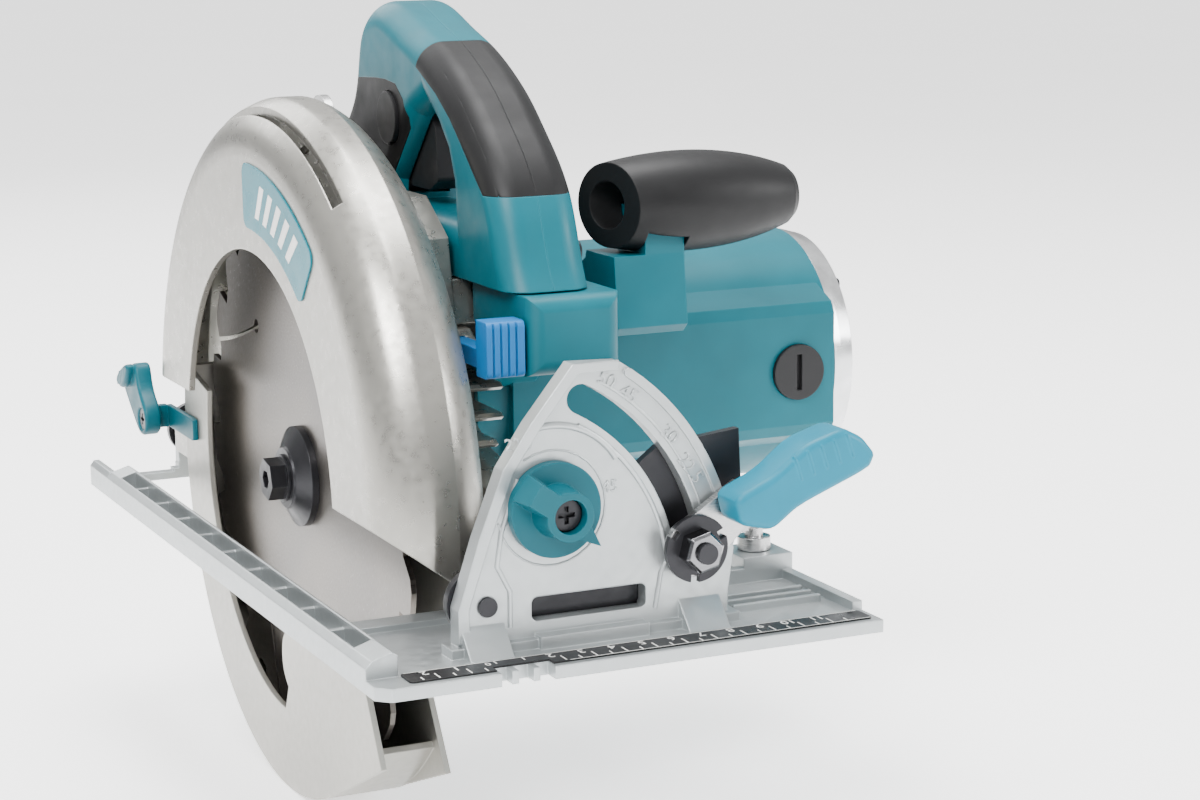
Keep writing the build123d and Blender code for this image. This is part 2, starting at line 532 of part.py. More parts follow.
# ------------------------------------------------------------ motor housing
PANEL_FRONT = -39.8
NECK_LEFT = 38.5
NECK_RIGHT = 70.5
with BuildPart() as neck_front:
    block((NECK_LEFT, -110, 76), (NECK_RIGHT, -63, HANDLE_FOOT - 0.6))
    fillet(neck_front.faces().sort_by(Axis.Y)[0].edges(), 5)
    block((NECK_LEFT - 1, -78, 75), (MOTOR_START, -62, 88), mode=Mode.SUBTRACT)
with BuildPart() as motor_housing:
    disc_x(MOTOR_Y, MOTOR_Z, MOTOR_RADIUS, MOTOR_START, MOTOR_END)
    side_shape([(PANEL_FRONT + 2, 32), (PANEL_FRONT, 36), (PANEL_FRONT, 76), (PANEL_FRONT + 2, 80), (-20, 88),
                (0, 60), (-20, 24)], 62, MOTOR_END - 2)
    block((MOTOR_START, -38, 82), (HANDLE_RIGHT, 50, HANDLE_FOOT - 0.6))
    # front block below the handle, and its neck
    side_shape([(-63, 76), (-63, HANDLE_FOOT - 0.6), (-38, HANDLE_FOOT - 0.6), (-38, 60), (-60, 76)],
               MOTOR_START, NECK_RIGHT)
    add(neck_front.part)
    disc_x(MOTOR_Y, MOTOR_Z, MOTOR_RADIUS - MOTOR_WALL, MOTOR_START - 1, MOTOR_END + 1, mode=Mode.SUBTRACT)
    # brush openings
    disc_y(BRUSH_X, MOTOR_Z, 10 + FIT_GAP, PANEL_FRONT - 1, -30, mode=Mode.SUBTRACT)
    disc_y(BRUSH_X, MOTOR_Z, 10 + FIT_GAP, 46, 60, mode=Mode.SUBTRACT)
    # air vents low on the rear of the motor
    for vent in range(7):
        block((150 + 5 * vent, 20, 8), (152.4 + 5 * vent, 50, 36), mode=Mode.SUBTRACT)
motor_housing.part.label = "motor_housing"
export_step(motor_housing.part, "parts/motor_housing.step")

with BuildPart() as end_cover:
    with BuildSketch(Plane((0, MOTOR_Y, MOTOR_Z))) as cover_profile:
        with BuildLine():
            Polyline((MOTOR_END, 13), (185, 13), (185, 11 + FIT_GAP), (193, 11 + FIT_GAP), (193, 5), (200, 5),
                     (200, 41), (198.5, 43.5), (193, 45), (MOTOR_END, MOTOR_RADIUS - 0.2), close=True)
        make_face()
    revolve(axis=Axis((0, MOTOR_Y, MOTOR_Z), (1, 0, 0)))
    disc_x(MOTOR_Y, MOTOR_Z, 36, 197, 201, mode=Mode.SUBTRACT)
    for vent in range(16):
        vent_y, vent_z = polar(25, 22.5 * vent, MOTOR_Y, MOTOR_Z)
        disc_x(vent_y, vent_z, 3, 184, 202, mode=Mode.SUBTRACT)
end_cover.part.label = "end_cover"
export_step(end_cover.part, "parts/end_cover.step")

# ------------------------------------------------------------ motor inside
with BuildPart() as stator:
    ring_x(MOTOR_Y, MOTOR_Z, 26, MOTOR_RADIUS - MOTOR_WALL - FIT_GAP, 73, 142)
    for side in (-1, 1):
        block((68, MOTOR_Y - 18, MOTOR_Z + side * 33 - 3), (147, MOTOR_Y + 18, MOTOR_Z + side * 33 + 3))
stator.part.label = "stator"
export_step(stator.part, "parts/stator.step")

GEAR_MODULE = 2 * hypot(MOTOR_Y, MOTOR_Z - SPINDLE_Z) / (PINION_TEETH + GEAR_TEETH)
MESH_ANGLE = degrees(atan2(MOTOR_Z - SPINDLE_Z, MOTOR_Y))




def gear_outline(teeth, start_angle, y, z):
    """Outline of a straight-sided gear with a tooth that points at start_angle."""
    pitch = GEAR_MODULE * teeth / 2
    root = pitch - 1.15 * GEAR_MODULE
    tip = pitch + 0.55 * GEAR_MODULE
    step = 360 / teeth
    outline = []
    for tooth in range(teeth):
        angle = start_angle + tooth * step
        for radius, turn in ((root, -0.27), (tip, -0.1), (tip, 0.1), (root, 0.27)):
            outline.append(polar(radius, angle + turn * step, y, z))
    return outline


with BuildPart() as armature_shaft:
    disc_x(MOTOR_Y, MOTOR_Z, 3.8, 24, 193)
    disc_x(MOTOR_Y, MOTOR_Z, 5, 37.5, 186)
    side_shape(gear_outline(PINION_TEETH, MESH_ANGLE + 180, MOTOR_Y, MOTOR_Z), 26, 37.5)
armature_shaft.part.label = "armature_shaft"
export_step(armature_shaft.part, "parts/armature_shaft.step")

with BuildPart() as armature_core:
    ring_x(MOTOR_Y, MOTOR_Z, 5 + FIT_GAP, 24.6, 76, 139)
    for slot in range(12):
        slot_y, slot_z = polar(23.6, 30 * slot, MOTOR_Y, MOTOR_Z)
        disc_x(slot_y, slot_z, 2.2, 75, 140, mode=Mode.SUBTRACT)
armature_core.part.label = "armature_core"
export_step(armature_core.part, "parts/armature_core.step")

with BuildPart() as commutator:
    ring_x(MOTOR_Y, MOTOR_Z, 5 + FIT_GAP, 13.5, 163, 183)
commutator.part.label = "commutator"
export_step(commutator.part, "parts/commutator.step")

FAN_BLADES = 14
with BuildPart() as cooling_fan:
    disc_x(MOTOR_Y, MOTOR_Z, 37, 64, 66)
    disc_x(MOTOR_Y, MOTOR_Z, 13.4, 57, 64)
    for blade_number in range(FAN_BLADES):
        angle = 360 / FAN_BLADES * blade_number
        side_shape([polar(13, angle, MOTOR_Y, MOTOR_Z), polar(36.5, angle + 14, MOTOR_Y, MOTOR_Z),
                    polar(36.5, angle + 17, MOTOR_Y, MOTOR_Z), polar(13, angle + 8, MOTOR_Y, MOTOR_Z)], 57.5, 64)
    disc_x(MOTOR_Y, MOTOR_Z, 5 + FIT_GAP, 56, 67, mode=Mode.SUBTRACT)
cooling_fan.part.label = "cooling_fan"
export_step(cooling_fan.part, "parts/cooling_fan.step")

with BuildPart() as armature_front_bearing:
    ring_x(MOTOR_Y, MOTOR_Z, 5 + RUN_GAP, 11, 47.5, 54)
armature_front_bearing.part.label = "armature_front_bearing"
export_step(armature_front_bearing.part, "parts/armature_front_bearing.step")

with BuildPart() as armature_rear_bearing:
    ring_x(MOTOR_Y, MOTOR_Z, 3.8 + RUN_GAP, 11, 186.2, 193)
armature_rear_bearing.part.label = "armature_rear_bearing"
export_step(armature_rear_bearing.part, "parts/armature_rear_bearing.step")

with BuildPart() as carbon_brushes:
    for inner, outer in ((MOTOR_Y - 13.8, MOTOR_Y - 26), (MOTOR_Y + 13.8, MOTOR_Y + 26)):
        block((BRUSH_X - 3, min(inner, outer), MOTOR_Z - 5), (BRUSH_X + 3, max(inner, outer), MOTOR_Z + 5))
carbon_brushes.part.label = "carbon_brushes"
export_step(carbon_brushes.part, "parts/carbon_brushes.step")

with BuildPart() as brush_holders:
    for front, back in ((MOTOR_Y - 36, MOTOR_Y - 16), (MOTOR_Y + 16, MOTOR_Y + 36)):
        disc_y(BRUSH_X, MOTOR_Z, 8.5, front, back)
        block((BRUSH_X - 3.1, front - 1, MOTOR_Z - 5.1), (BRUSH_X + 3.1, back + 1, MOTOR_Z + 5.1),
              mode=Mode.SUBTRACT)
brush_holders.part.label = "brush_holders"
export_step(brush_holders.part, "parts/brush_holders.step")

with BuildPart() as brush_caps:
    disc_y(BRUSH_X, MOTOR_Z, 10, PANEL_FRONT - 1.6, MOTOR_Y - 36.2)
    block((BRUSH_X - 1, PANEL_FRONT - 2, MOTOR_Z - 6.5), (BRUSH_X + 1, PANEL_FRONT + 0.4, MOTOR_Z + 6.5),
          mode=Mode.SUBTRACT)
    disc_y(BRUSH_X, MOTOR_Z, 10, MOTOR_Y + 36.2, MOTOR_Y + 45)
brush_caps.part.label = "brush_caps"
export_step(brush_caps.part, "parts/brush_caps.step")

# ------------------------------------------------------------ spindle group
with BuildPart() as spindle:
    disc_x(0, SPINDLE_Z, 7.5, -0.9, 45)
    disc_x(0, SPINDLE_Z, 4, -2, 12, mode=Mode.SUBTRACT)
spindle.part.label = "spindle"
export_step(spindle.part, "parts/spindle.step")

with BuildPart() as drive_gear:
    side_shape(gear_outline(GEAR_TEETH, MESH_ANGLE + 180 / GEAR_TEETH, 0, SPINDLE_Z), 27, 36)
    disc_x(0, SPINDLE_Z, 7.5 + FIT_GAP, 26, 37, mode=Mode.SUBTRACT)
    for hole in range(6):
        hole_y, hole_z = polar(15, 60 * hole)
        disc_x(hole_y, hole_z, 3, 26, 37, mode=Mode.SUBTRACT)
drive_gear.part.label = "drive_gear"
export_step(drive_gear.part, "parts/drive_gear.step")

with BuildPart() as blade_bearing:
    ring_x(0, SPINDLE_Z, 7.5 + RUN_GAP, 16, 13, 19.8)
blade_bearing.part.label = "blade_bearing"
export_step(blade_bearing.part, "parts/blade_bearing.step")

with BuildPart() as spindle_inner_bearing:
    ring_x(0, SPINDLE_Z, 7.5 + RUN_GAP, 14, 38, 44.8)
spindle_inner_bearing.part.label = "spindle_inner_bearing"
export_step(spindle_inner_bearing.part, "parts/spindle_inner_bearing.step")

with BuildPart() as bearing_retainer:
    ring_x(0, SPINDLE_Z, 8.6, 24.5, 11.5, 12.8)
bearing_retainer.part.label = "bearing_retainer"
export_step(bearing_retainer.part, "parts/bearing_retainer.step")

with BuildPart() as inner_flange:
    ring_x(0, SPINDLE_Z, 7.5 + FIT_GAP, FLANGE_RADIUS, BLADE_THICKNESS / 2, 6)
inner_flange.part.label = "inner_flange"
export_step(inner_flange.part, "parts/inner_flange.step")

expansion_arcs = [ThreePointArc(polar(100, 90 * slot + 20), polar(82, 90 * slot + 28), polar(66, 90 * slot + 44))
                  for slot in range(4)]
with BuildPart() as saw_blade:
    with BuildSketch(side_plane(-BLADE_THICKNESS / 2)) as blade_shape:
        with Locations((0, SPINDLE_Z)):
            Circle(BLADE_RADIUS)
        for tooth in range(TOOTH_COUNT):
            tooth_angle = 360 / TOOTH_COUNT * tooth
            with BuildLine():
                Polyline(polar(BLADE_RADIUS + 2, tooth_angle), polar(BLADE_RADIUS - 9, tooth_angle + 0.8),
                         polar(BLADE_RADIUS - 8, tooth_angle + 4.2), polar(BLADE_RADIUS - 1.5, tooth_angle + 7.5),
                         polar(BLADE_RADIUS + 2, tooth_angle + 12.5), close=True)
            make_face(mode=Mode.SUBTRACT)
        for slot, slot_arc in enumerate(expansion_arcs):
            SlotArc(slot_arc, 1.5, mode=Mode.SUBTRACT)
            with Locations(polar(66, 90 * slot + 44)):
                Circle(2.6, mode=Mode.SUBTRACT)
        with Locations((0, SPINDLE_Z)):
            Circle(BORE_RADIUS - 0.42, mode=Mode.SUBTRACT)
    extrude(amount=BLADE_THICKNESS)
saw_blade.part.label = "saw_blade"
export_step(saw_blade.part, "parts/saw_blade.step")

with BuildPart() as outer_flange:
    with BuildSketch(Plane((0, 0, SPINDLE_Z))) as flange_profile:
        with BuildLine():
            Polyline((-0.9, 4.1), (-0.9, FLANGE_RADIUS), (-3.4, FLANGE_RADIUS), (-7, 11), (-7.8, 10.5),
                     (-7.8, 4.1), close=True)
        make_face()
    revolve(axis=Axis((0, 0, SPINDLE_Z), (1, 0, 0)))
outer_flange.part.label = "outer_flange"
export_step(outer_flange.part, "parts/outer_flange.step")

with BuildPart() as blade_bolt:
    disc_x(0, SPINDLE_Z, 3.98, -7.8, 11)
    disc_x(0, SPINDLE_Z, 8.2, -8.8, -7.8)
    with BuildSketch(side_plane(-8.8)) as hex_head:
        with Locations((0, SPINDLE_Z)):
            RegularPolygon(7.4, 6, rotation=12)
            RegularPolygon(3.4, 6, mode=Mode.SUBTRACT)
    extrude(amount=-5.6)
blade_bolt.part.label = "blade_bolt"
export_step(blade_bolt.part, "parts/blade_bolt.step")

# ------------------------------------------------------------ lower guard
GUARD_REAR_ANGLE = 12.0
LIP_ANGLE = -116.1
MOUTH = (-97.0, -49.0)
WINDOW_RADIUS = 82.5
REAR_TOP = polar(LOWER_RADIUS, GUARD_REAR_ANGLE)
LIP_START = polar(LOWER_RADIUS, LIP_ANGLE)
with BuildPart() as lower_guard:
    with BuildSketch(side_plane(LOWER_FACE)) as face_shape:
        with BuildLine():
            ThreePointArc(REAR_TOP, polar(LOWER_RADIUS, -50), LIP_START)
            Polyline(LIP_START, MOUTH, (-84, -26), (-11, -24))
            ThreePointArc((-11, -24), (1, -34), (-5, -46))
            Line((-5, -46), (-1, -55))
            ThreePointArc((-1, -55), polar(WINDOW_RADIUS, -38), polar(WINDOW_RADIUS, GUARD_REAR_ANGLE))
            Line(polar(WINDOW_RADIUS, GUARD_REAR_ANGLE), REAR_TOP)
        make_face()
    extrude(amount=LOWER_WALL)
    with BuildSketch(side_plane(LOWER_FACE)) as web_shape:
        with BuildLine():
            web_out = CenterArc((0, SPINDLE_Z), LOWER_RADIUS, -136, 136 + GUARD_REAR_ANGLE)
            web_in = CenterArc((0, SPINDLE_Z), LOWER_RADIUS - 2.4, -136, 136 + GUARD_REAR_ANGLE)
            Line(web_out @ 0, web_in @ 0)
            Line(web_out @ 1, web_in @ 1)
        make_face()
    extrude(amount=LOWER_BACK - LOWER_FACE)
    with BuildSketch(side_plane(LOWER_BACK - LOWER_WALL)) as back_shape:
        with BuildLine():
            ThreePointArc(REAR_TOP, polar(LOWER_RADIUS, -50), LIP_START)
            Polyline(LIP_START, (-90, -56), (-76, -34), (-100, -10), (-106, 12), (-98, 30), (-27, 42), (26, 42),
                     REAR_TOP)
        make_face()
        with Locations((0, SPINDLE_Z)):
            Circle(29)
    extrude(amount=LOWER_WALL)
    disc_x(0, SPINDLE_Z, 25, 13, 18.4)
    disc_x(0, SPINDLE_Z, NOSE_RADIUS + RUN_GAP, 12, 20, mode=Mode.SUBTRACT)
lower_guard.part.label = "lower_guard"
export_step(lower_guard.part, "parts/lower_guard.step")

with BuildPart() as retract_lever:
    side_shape([(127, 20.2), (133, 21), (145, 30), (154, 37), (151, 42), (138, 48), (134, 47), (131, 38), (121.5, 31),
                (121, 24)], -23, -16.6, corner=1.5)
    side_shape([(143, 36), (153, 37.5), (151, 42), (138, 48), (134, 46)], -26, -23, corner=1.2)
    block((-12.4, 94, 23), (LOWER_FACE, 131, 32))
    block((-16.7, 126.7, 23), (-12.3, 131, 32))
    disc_x(LEVER_RADIUS, SPINDLE_Z - 0.5, 4.3, -24, -21, mode=Mode.SUBTRACT)
retract_lever.part.label = "retract_lever"
export_step(retract_lever.part, "parts/retract_lever.step")

with BuildPart() as retract_lever_screw:
    disc_x(LEVER_RADIUS, SPINDLE_Z - 0.5, 4, -22.4, -21)
    phillips(4, 1, Plane((-22.4, LEVER_RADIUS, SPINDLE_Z - 0.5), x_dir=(0, -1, 0), z_dir=(-1, 0, 0)))
retract_lever_screw.part.label = "retract_lever_screw"
export_step(retract_lever_screw.part, "parts/retract_lever_screw.step")

with BuildPart() as guard_spring:
    ring_x(0, SPINDLE_Z, 26, 29, 17, 19.6)
guard_spring.part.label = "guard_spring"
export_step(guard_spring.part, "parts/guard_spring.step")

# ------------------------------------------------------------ depth clamp
DEPTH_BOLT_ANGLE = 2.5
DEPTH_BOLT_Y = DEPTH_Y + DEPTH_GUIDE_RADIUS * cos(radians(DEPTH_BOLT_ANGLE))
DEPTH_BOLT_Z = DEPTH_Z + DEPTH_GUIDE_RADIUS * sin(radians(DEPTH_BOLT_ANGLE))
with BuildPart() as depth_clamp_bolt:
    disc_x(DEPTH_BOLT_Y, DEPTH_BOLT_Z, 4, CASE_WALL_X, 36)
    disc_x(DEPTH_BOLT_Y, DEPTH_BOLT_Z, 7, CASE_WALL_X - 2.6, CASE_WALL_X)
    disc_x(DEPTH_BOLT_Y, DEPTH_BOLT_Z, 7, CASE_WALL_END, GUIDE_LEFT - 0.3)
depth_clamp_bolt.part.label = "depth_clamp_bolt"
export_step(depth_clamp_bolt.part, "parts/depth_clamp_bolt.step")

with BuildPart() as depth_lever:
    side_shape([(DEPTH_BOLT_Y - 9, DEPTH_BOLT_Z - 4), (DEPTH_BOLT_Y + 3, DEPTH_BOLT_Z - 9), (122, 48), (128, 58),
                (118, 62), (DEPTH_BOLT_Y - 6, DEPTH_BOLT_Z + 8)], GUIDE_RIGHT + 0.4, 36, corner=3)
    disc_x(DEPTH_BOLT_Y, DEPTH_BOLT_Z, 4 + RUN_GAP, GUIDE_RIGHT, 37, mode=Mode.SUBTRACT)
    for ridge in range(4):
        disc_x(98 + 4 * ridge, 51 + 2.3 * ridge, 1.2, GUIDE_RIGHT + 0.4, 36)
depth_lever.part.label = "depth_lever"
export_step(depth_lever.part, "parts/depth_lever.step")

# ------------------------------------------------------------ handle
HANDLE_OUTER = [(-103, HANDLE_FOOT), (-97, 114), (-90, 131), (-79, 144.5), (-69, 153), (-59, 161), (-46, 169),
                (-27, 177.5), (-11, 182.5), (0, 186.3), (11, 189), (24, 187), (34, 179), (38, 169), (42, 158), (52, 147), (62, 133), (68, 116),
                (70, HANDLE_FOOT)]
FINGER_GAP = [(-29, 156), (-20, 151), (-8, 139), (3, 128), (4, 121), (-52, 121), (-51, 132), (-47, 141),
              (-39, 149)]
CAVITY = [(4, 174), (18, 177), (28, 168), (34, 152), (50, 138), (56, 122), (58, 108), (14, 108), (14, 128),
          (-4, 150), (-14, 162)]


def handle_half(start, end, round_face):
    """One half of the D handle, rounded on its outer side."""
    with BuildSketch(side_plane(start)) as handle_side:
        with BuildLine():
            Spline(*HANDLE_OUTER)
            Line(HANDLE_OUTER[-1], HANDLE_OUTER[0])
        make_face()
        with BuildLine() as gap:
            Polyline(*FINGER_GAP, close=True)
        gap_face = make_face(gap.edges(), mode=Mode.PRIVATE)
        add(gap_face, mode=Mode.SUBTRACT)
    half = extrude(handle_side.sketch, amount=end - start)
    edges = half.faces().sort_by(Axis.X)[round_face].edges()
    fillet(edges.filter_by(lambda edge: edge.center().Z > HANDLE_FOOT + 1), 9)


def front_pad_zone(depth):
    """(Y, Z) outline that takes the outer layer of the front bar to a given depth."""
    surface = [(-28, 177), (-46, 169), (-59, 161), (-69, 153), (-79, 144.5), (-90, 131)]
    lean = [(0.39, 0.92), (0.45, 0.89), (0.57, 0.82), (0.64, 0.77), (0.69, 0.73), (1, 0)]
    inner = [(y + depth * a, z - depth * b) for (y, z), (a, b) in zip(surface, lean)]
    return inner + [(-108, 131), (-100, 150), (-70, 178), (-33, 190)]


THUMB_ZONE = [(5, 163), (-5, 162), (-12, 157), (-14, 151), (-11, 144), (-4, 137), (2, 130), (6, 112), (80, 112),
              (70, 150), (34, 162), (14, 163)]


def hollow_handle(start, end):
    """Space for the switch, and the slot that the trigger works in."""
    side_shape(CAVITY, max(start, HANDLE_LEFT + 6), min(end, HANDLE_RIGHT - 6), mode=Mode.SUBTRACT)
    side_shape([(-26, 150), (-14, 160), (10, 160), (20, 150), (20, 123), (-10, 123), (-26, 130)],
               max(start, 42.3), min(end, 57.7), mode=Mode.SUBTRACT)
    disc_y(HANDLE_MID, 110, 6.5 + FIT_GAP, 56, 80, mode=Mode.SUBTRACT)


with BuildPart() as handle_left:
    handle_half(HANDLE_LEFT, HANDLE_MID, 0)
    hollow_handle(HANDLE_LEFT, HANDLE_MID)
    disc_x(2, 150, 9.3, HANDLE_LEFT - 1, HANDLE_LEFT + 7, mode=Mode.SUBTRACT)
with BuildPart() as handle_right:
    handle_half(HANDLE_MID, HANDLE_RIGHT, -1)
    hollow_handle(HANDLE_MID, HANDLE_RIGHT)
with BuildPart() as front_pad_left:
    add(handle_left.part)
    side_shape(front_pad_zone(9), HANDLE_LEFT - 1, HANDLE_MID, mode=Mode.INTERSECT)
    side_shape(front_pad_zone(2.5)[:6] + [(-60, 110), (-20, 150)], HANDLE_LEFT + 3, HANDLE_MID, mode=Mode.SUBTRACT)
with BuildPart() as front_pad_right:
    add(handle_right.part)
    side_shape(front_pad_zone(9), HANDLE_MID, HANDLE_RIGHT + 1, mode=Mode.INTERSECT)
    side_shape(front_pad_zone(2.5)[:6] + [(-60, 110), (-20, 150)], HANDLE_MID, HANDLE_RIGHT - 3, mode=Mode.SUBTRACT)
with BuildPart() as side_pad_left:
    add(handle_left.part)
    side_shape(THUMB_ZONE, HANDLE_LEFT - 1, HANDLE_LEFT + 2.6, mode=Mode.INTERSECT)
with BuildPart() as side_pad_right:
    add(handle_right.part)
    side_shape(THUMB_ZONE, HANDLE_RIGHT - 2.6, HANDLE_RIGHT + 1, mode=Mode.INTERSECT)
with BuildPart() as side_pads:
    add([side_pad_left.part, side_pad_right.part])
with BuildPart() as handle_shell_left:
    add(handle_left.part)
    add([front_pad_left.part, side_pad_left.part], mode=Mode.SUBTRACT)
with BuildPart() as handle_shell_right:
    add(handle_right.part)
    add([front_pad_right.part, side_pad_right.part], mode=Mode.SUBTRACT)
front_pad_left.part.label = "front_pad_left"
export_step(front_pad_left.part, "parts/front_pad_left.step")
front_pad_right.part.label = "front_pad_right"
export_step(front_pad_right.part, "parts/front_pad_right.step")
side_pads.part.label = "side_pads"
export_step(side_pads.part, "parts/side_pads.step")
handle_shell_left.part.label = "handle_left"
export_step(handle_shell_left.part, "parts/handle_left.step")
handle_shell_right.part.label = "handle_right"
export_step(handle_shell_right.part, "parts/handle_right.step")

with BuildPart() as lock_button:
    disc_x(2, 150, 9, HANDLE_LEFT - 1.2, HANDLE_LEFT + 4)
lock_button.part.label = "lock_button"
export_step(lock_button.part, "parts/lock_button.step")

with BuildPart() as trigger:
    side_shape([(-21, 148), (-8, 159), (4, 156), (10, 132), (2, 126), (-15, 126), (-23, 130)], 43, 57, corner=2)
    disc_x(-4, 152, 1.6, 42, 58, mode=Mode.SUBTRACT)
trigger.part.label = "trigger"
export_step(trigger.part, "parts/trigger.step")

with BuildPart() as power_switch:
    block((41, 18, 118), (59, 40, 142))
power_switch.part.label = "power_switch"
export_step(power_switch.part, "parts/power_switch.step")

with BuildPart() as cord_gland:
    disc_y(HANDLE_MID, 110, 6.5, 59, 92)
    disc_y(HANDLE_MID, 110, 4, 58, 93, mode=Mode.SUBTRACT)
cord_gland.part.label = "cord_gland"
export_step(cord_gland.part, "parts/cord_gland.step")

with BuildPart() as housing_screws:
    for screw_y, screw_z in ((-86, 112), (52, 122), (8, 176)):
        disc_x(screw_y, screw_z, 3.5, HANDLE_RIGHT, HANDLE_RIGHT + 1)
    with BuildSketch(side_plane(MOTOR_END + 10)) as heads:
        with Locations((MOTOR_Y, MOTOR_Z)):
            with PolarLocations(38.7, 4, start_angle=45):
                Circle(1.9)
    extrude(amount=1.2)
housing_screws.part.label = "housing_screws"
export_step(housing_screws.part, "parts/housing_screws.step")

# ------------------------------------------------------------ front grip
with BuildPart() as front_grip_sleeve:
    with BuildSketch(Plane((0, GRIP_Y, GRIP_Z))) as barrel:
        with BuildLine():
            Spline((80, 12.6), (97, 15.8), (112, 17), (128, 16.4), (144, 13.6), (154, 10.4))
            Polyline((154, 10.4), (156.6, 8.2), (157.5, 5.5), (157.5, 0), (148, 0), (148, GRIP_CORE_RADIUS + FIT_GAP),
                     (80, GRIP_CORE_RADIUS + FIT_GAP), (80, 12.6))
        make_face()
    revolve(axis=Axis((0, GRIP_Y, GRIP_Z), (1, 0, 0)))
    # the open left end is cut off at a slant
    with BuildSketch(Plane.XY.offset(GRIP_Z - 20)) as slant:
        with BuildLine():
            Polyline((70, GRIP_Y - 20), (94.4, GRIP_Y - 20), (81, GRIP_Y + 20), (70, GRIP_Y + 20), close=True)
        make_face()
    extrude(amount=40, mode=Mode.SUBTRACT)
    block((COLUMN_NECK - 0.3, GRIP_Y - 13.2, 90), (COLUMN_RIGHT + 0.3, GRIP_Y + 13.2, GRIP_Z), mode=Mode.SUBTRACT)
front_grip_sleeve.part.label = "front_grip_sleeve"
export_step(front_grip_sleeve.part, "parts/front_grip_sleeve.step")

with BuildPart() as front_grip_core:
    disc_x(GRIP_Y, GRIP_Z, GRIP_CORE_RADIUS, 98, 147.8)
    side_shape([(-72, 106.8), (-74.5, 83), (-71, 80), (PANEL_FRONT - 0.1, 76), (-20, 85), (-34, 96), (-49, 104),
                (-50, 106.8)], COLUMN_LEFT, COLUMN_RIGHT)
    block((COLUMN_NECK, -72, 106), (COLUMN_RIGHT, -51, 122))
    disc_x(MOTOR_Y, MOTOR_Z, MOTOR_RADIUS + 0.1, 60, 140, mode=Mode.SUBTRACT)
    block((60, PANEL_FRONT - 0.1, 60), (140, 0, 88.5), mode=Mode.SUBTRACT)
front_grip_core.part.label = "front_grip_core"
export_step(front_grip_core.part, "parts/front_grip_core.step")

# ------------------------------------------------------------ shaft lock
with BuildPart() as shaft_lock:
    block((24.5, -108, 76.5), (37.4, -99, 94.5))
    fillet(shaft_lock.edges().filter_by(Axis.X).group_by(Axis.Y)[0], 2)
    for ridge in range(4):
        block((26.4 + 2.6 * ridge, -109, 76), (27.2 + 2.6 * ridge, -107.2, 95), mode=Mode.SUBTRACT)
    block((27, -99, 78), (33, -67, 84))
shaft_lock.part.label = "shaft_lock"
export_step(shaft_lock.part, "parts/shaft_lock.step")
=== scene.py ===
import json
import math

import bmesh
import bpy
from bpy.props import FloatProperty, FloatVectorProperty, PointerProperty
from mathutils import Matrix, Vector


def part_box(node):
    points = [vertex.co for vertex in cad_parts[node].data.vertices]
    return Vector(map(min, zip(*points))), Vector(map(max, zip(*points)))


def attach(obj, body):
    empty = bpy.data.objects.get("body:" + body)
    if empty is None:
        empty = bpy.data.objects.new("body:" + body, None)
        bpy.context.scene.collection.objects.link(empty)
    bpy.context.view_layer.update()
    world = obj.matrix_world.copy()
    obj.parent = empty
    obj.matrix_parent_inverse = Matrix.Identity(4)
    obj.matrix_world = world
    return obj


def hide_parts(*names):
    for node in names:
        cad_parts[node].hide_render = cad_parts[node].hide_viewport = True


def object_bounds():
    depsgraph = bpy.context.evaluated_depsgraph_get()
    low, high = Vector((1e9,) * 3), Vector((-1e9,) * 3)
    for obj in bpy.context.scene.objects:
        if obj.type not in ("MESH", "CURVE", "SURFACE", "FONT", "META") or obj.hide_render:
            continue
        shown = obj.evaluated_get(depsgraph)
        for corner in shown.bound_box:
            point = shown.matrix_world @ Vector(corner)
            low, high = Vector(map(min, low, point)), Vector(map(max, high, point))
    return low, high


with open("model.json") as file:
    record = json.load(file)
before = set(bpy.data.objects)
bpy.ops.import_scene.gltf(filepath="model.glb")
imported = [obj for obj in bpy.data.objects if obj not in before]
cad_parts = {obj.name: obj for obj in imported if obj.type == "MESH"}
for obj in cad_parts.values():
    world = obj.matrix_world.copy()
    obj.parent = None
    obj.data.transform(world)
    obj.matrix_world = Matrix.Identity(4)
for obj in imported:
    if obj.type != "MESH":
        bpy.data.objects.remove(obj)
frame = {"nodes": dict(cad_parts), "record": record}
CAD_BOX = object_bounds()
JOINTS = {joint["name"]: joint for joint in frame["record"]["behaviour"]["joints"]}

bl_info = {
    "name": "Circular saw builder",
    "version": (1, 0, 0),
    "blender": (4, 5, 0),
    "location": "View3D > Sidebar > Saw",
    "description": "Finishes a circular saw around its packed frame",
    "category": "Object",
}

MM = 0.001
SPINDLE = Vector(JOINTS["blade_spin"]["pos_m"])
BEVEL = Vector(JOINTS["bevel_tilt"]["pos_m"])
CLAMP = Vector(JOINTS["bevel_clamp_turn"]["pos_m"])
KNOB = Vector(JOINTS["stop_select"]["pos_m"])


def low(node):
    """Lowest corner of a CAD node."""
    return Vector(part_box(node)[0])


def high(node):
    """Highest corner of a CAD node."""
    return Vector(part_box(node)[1])


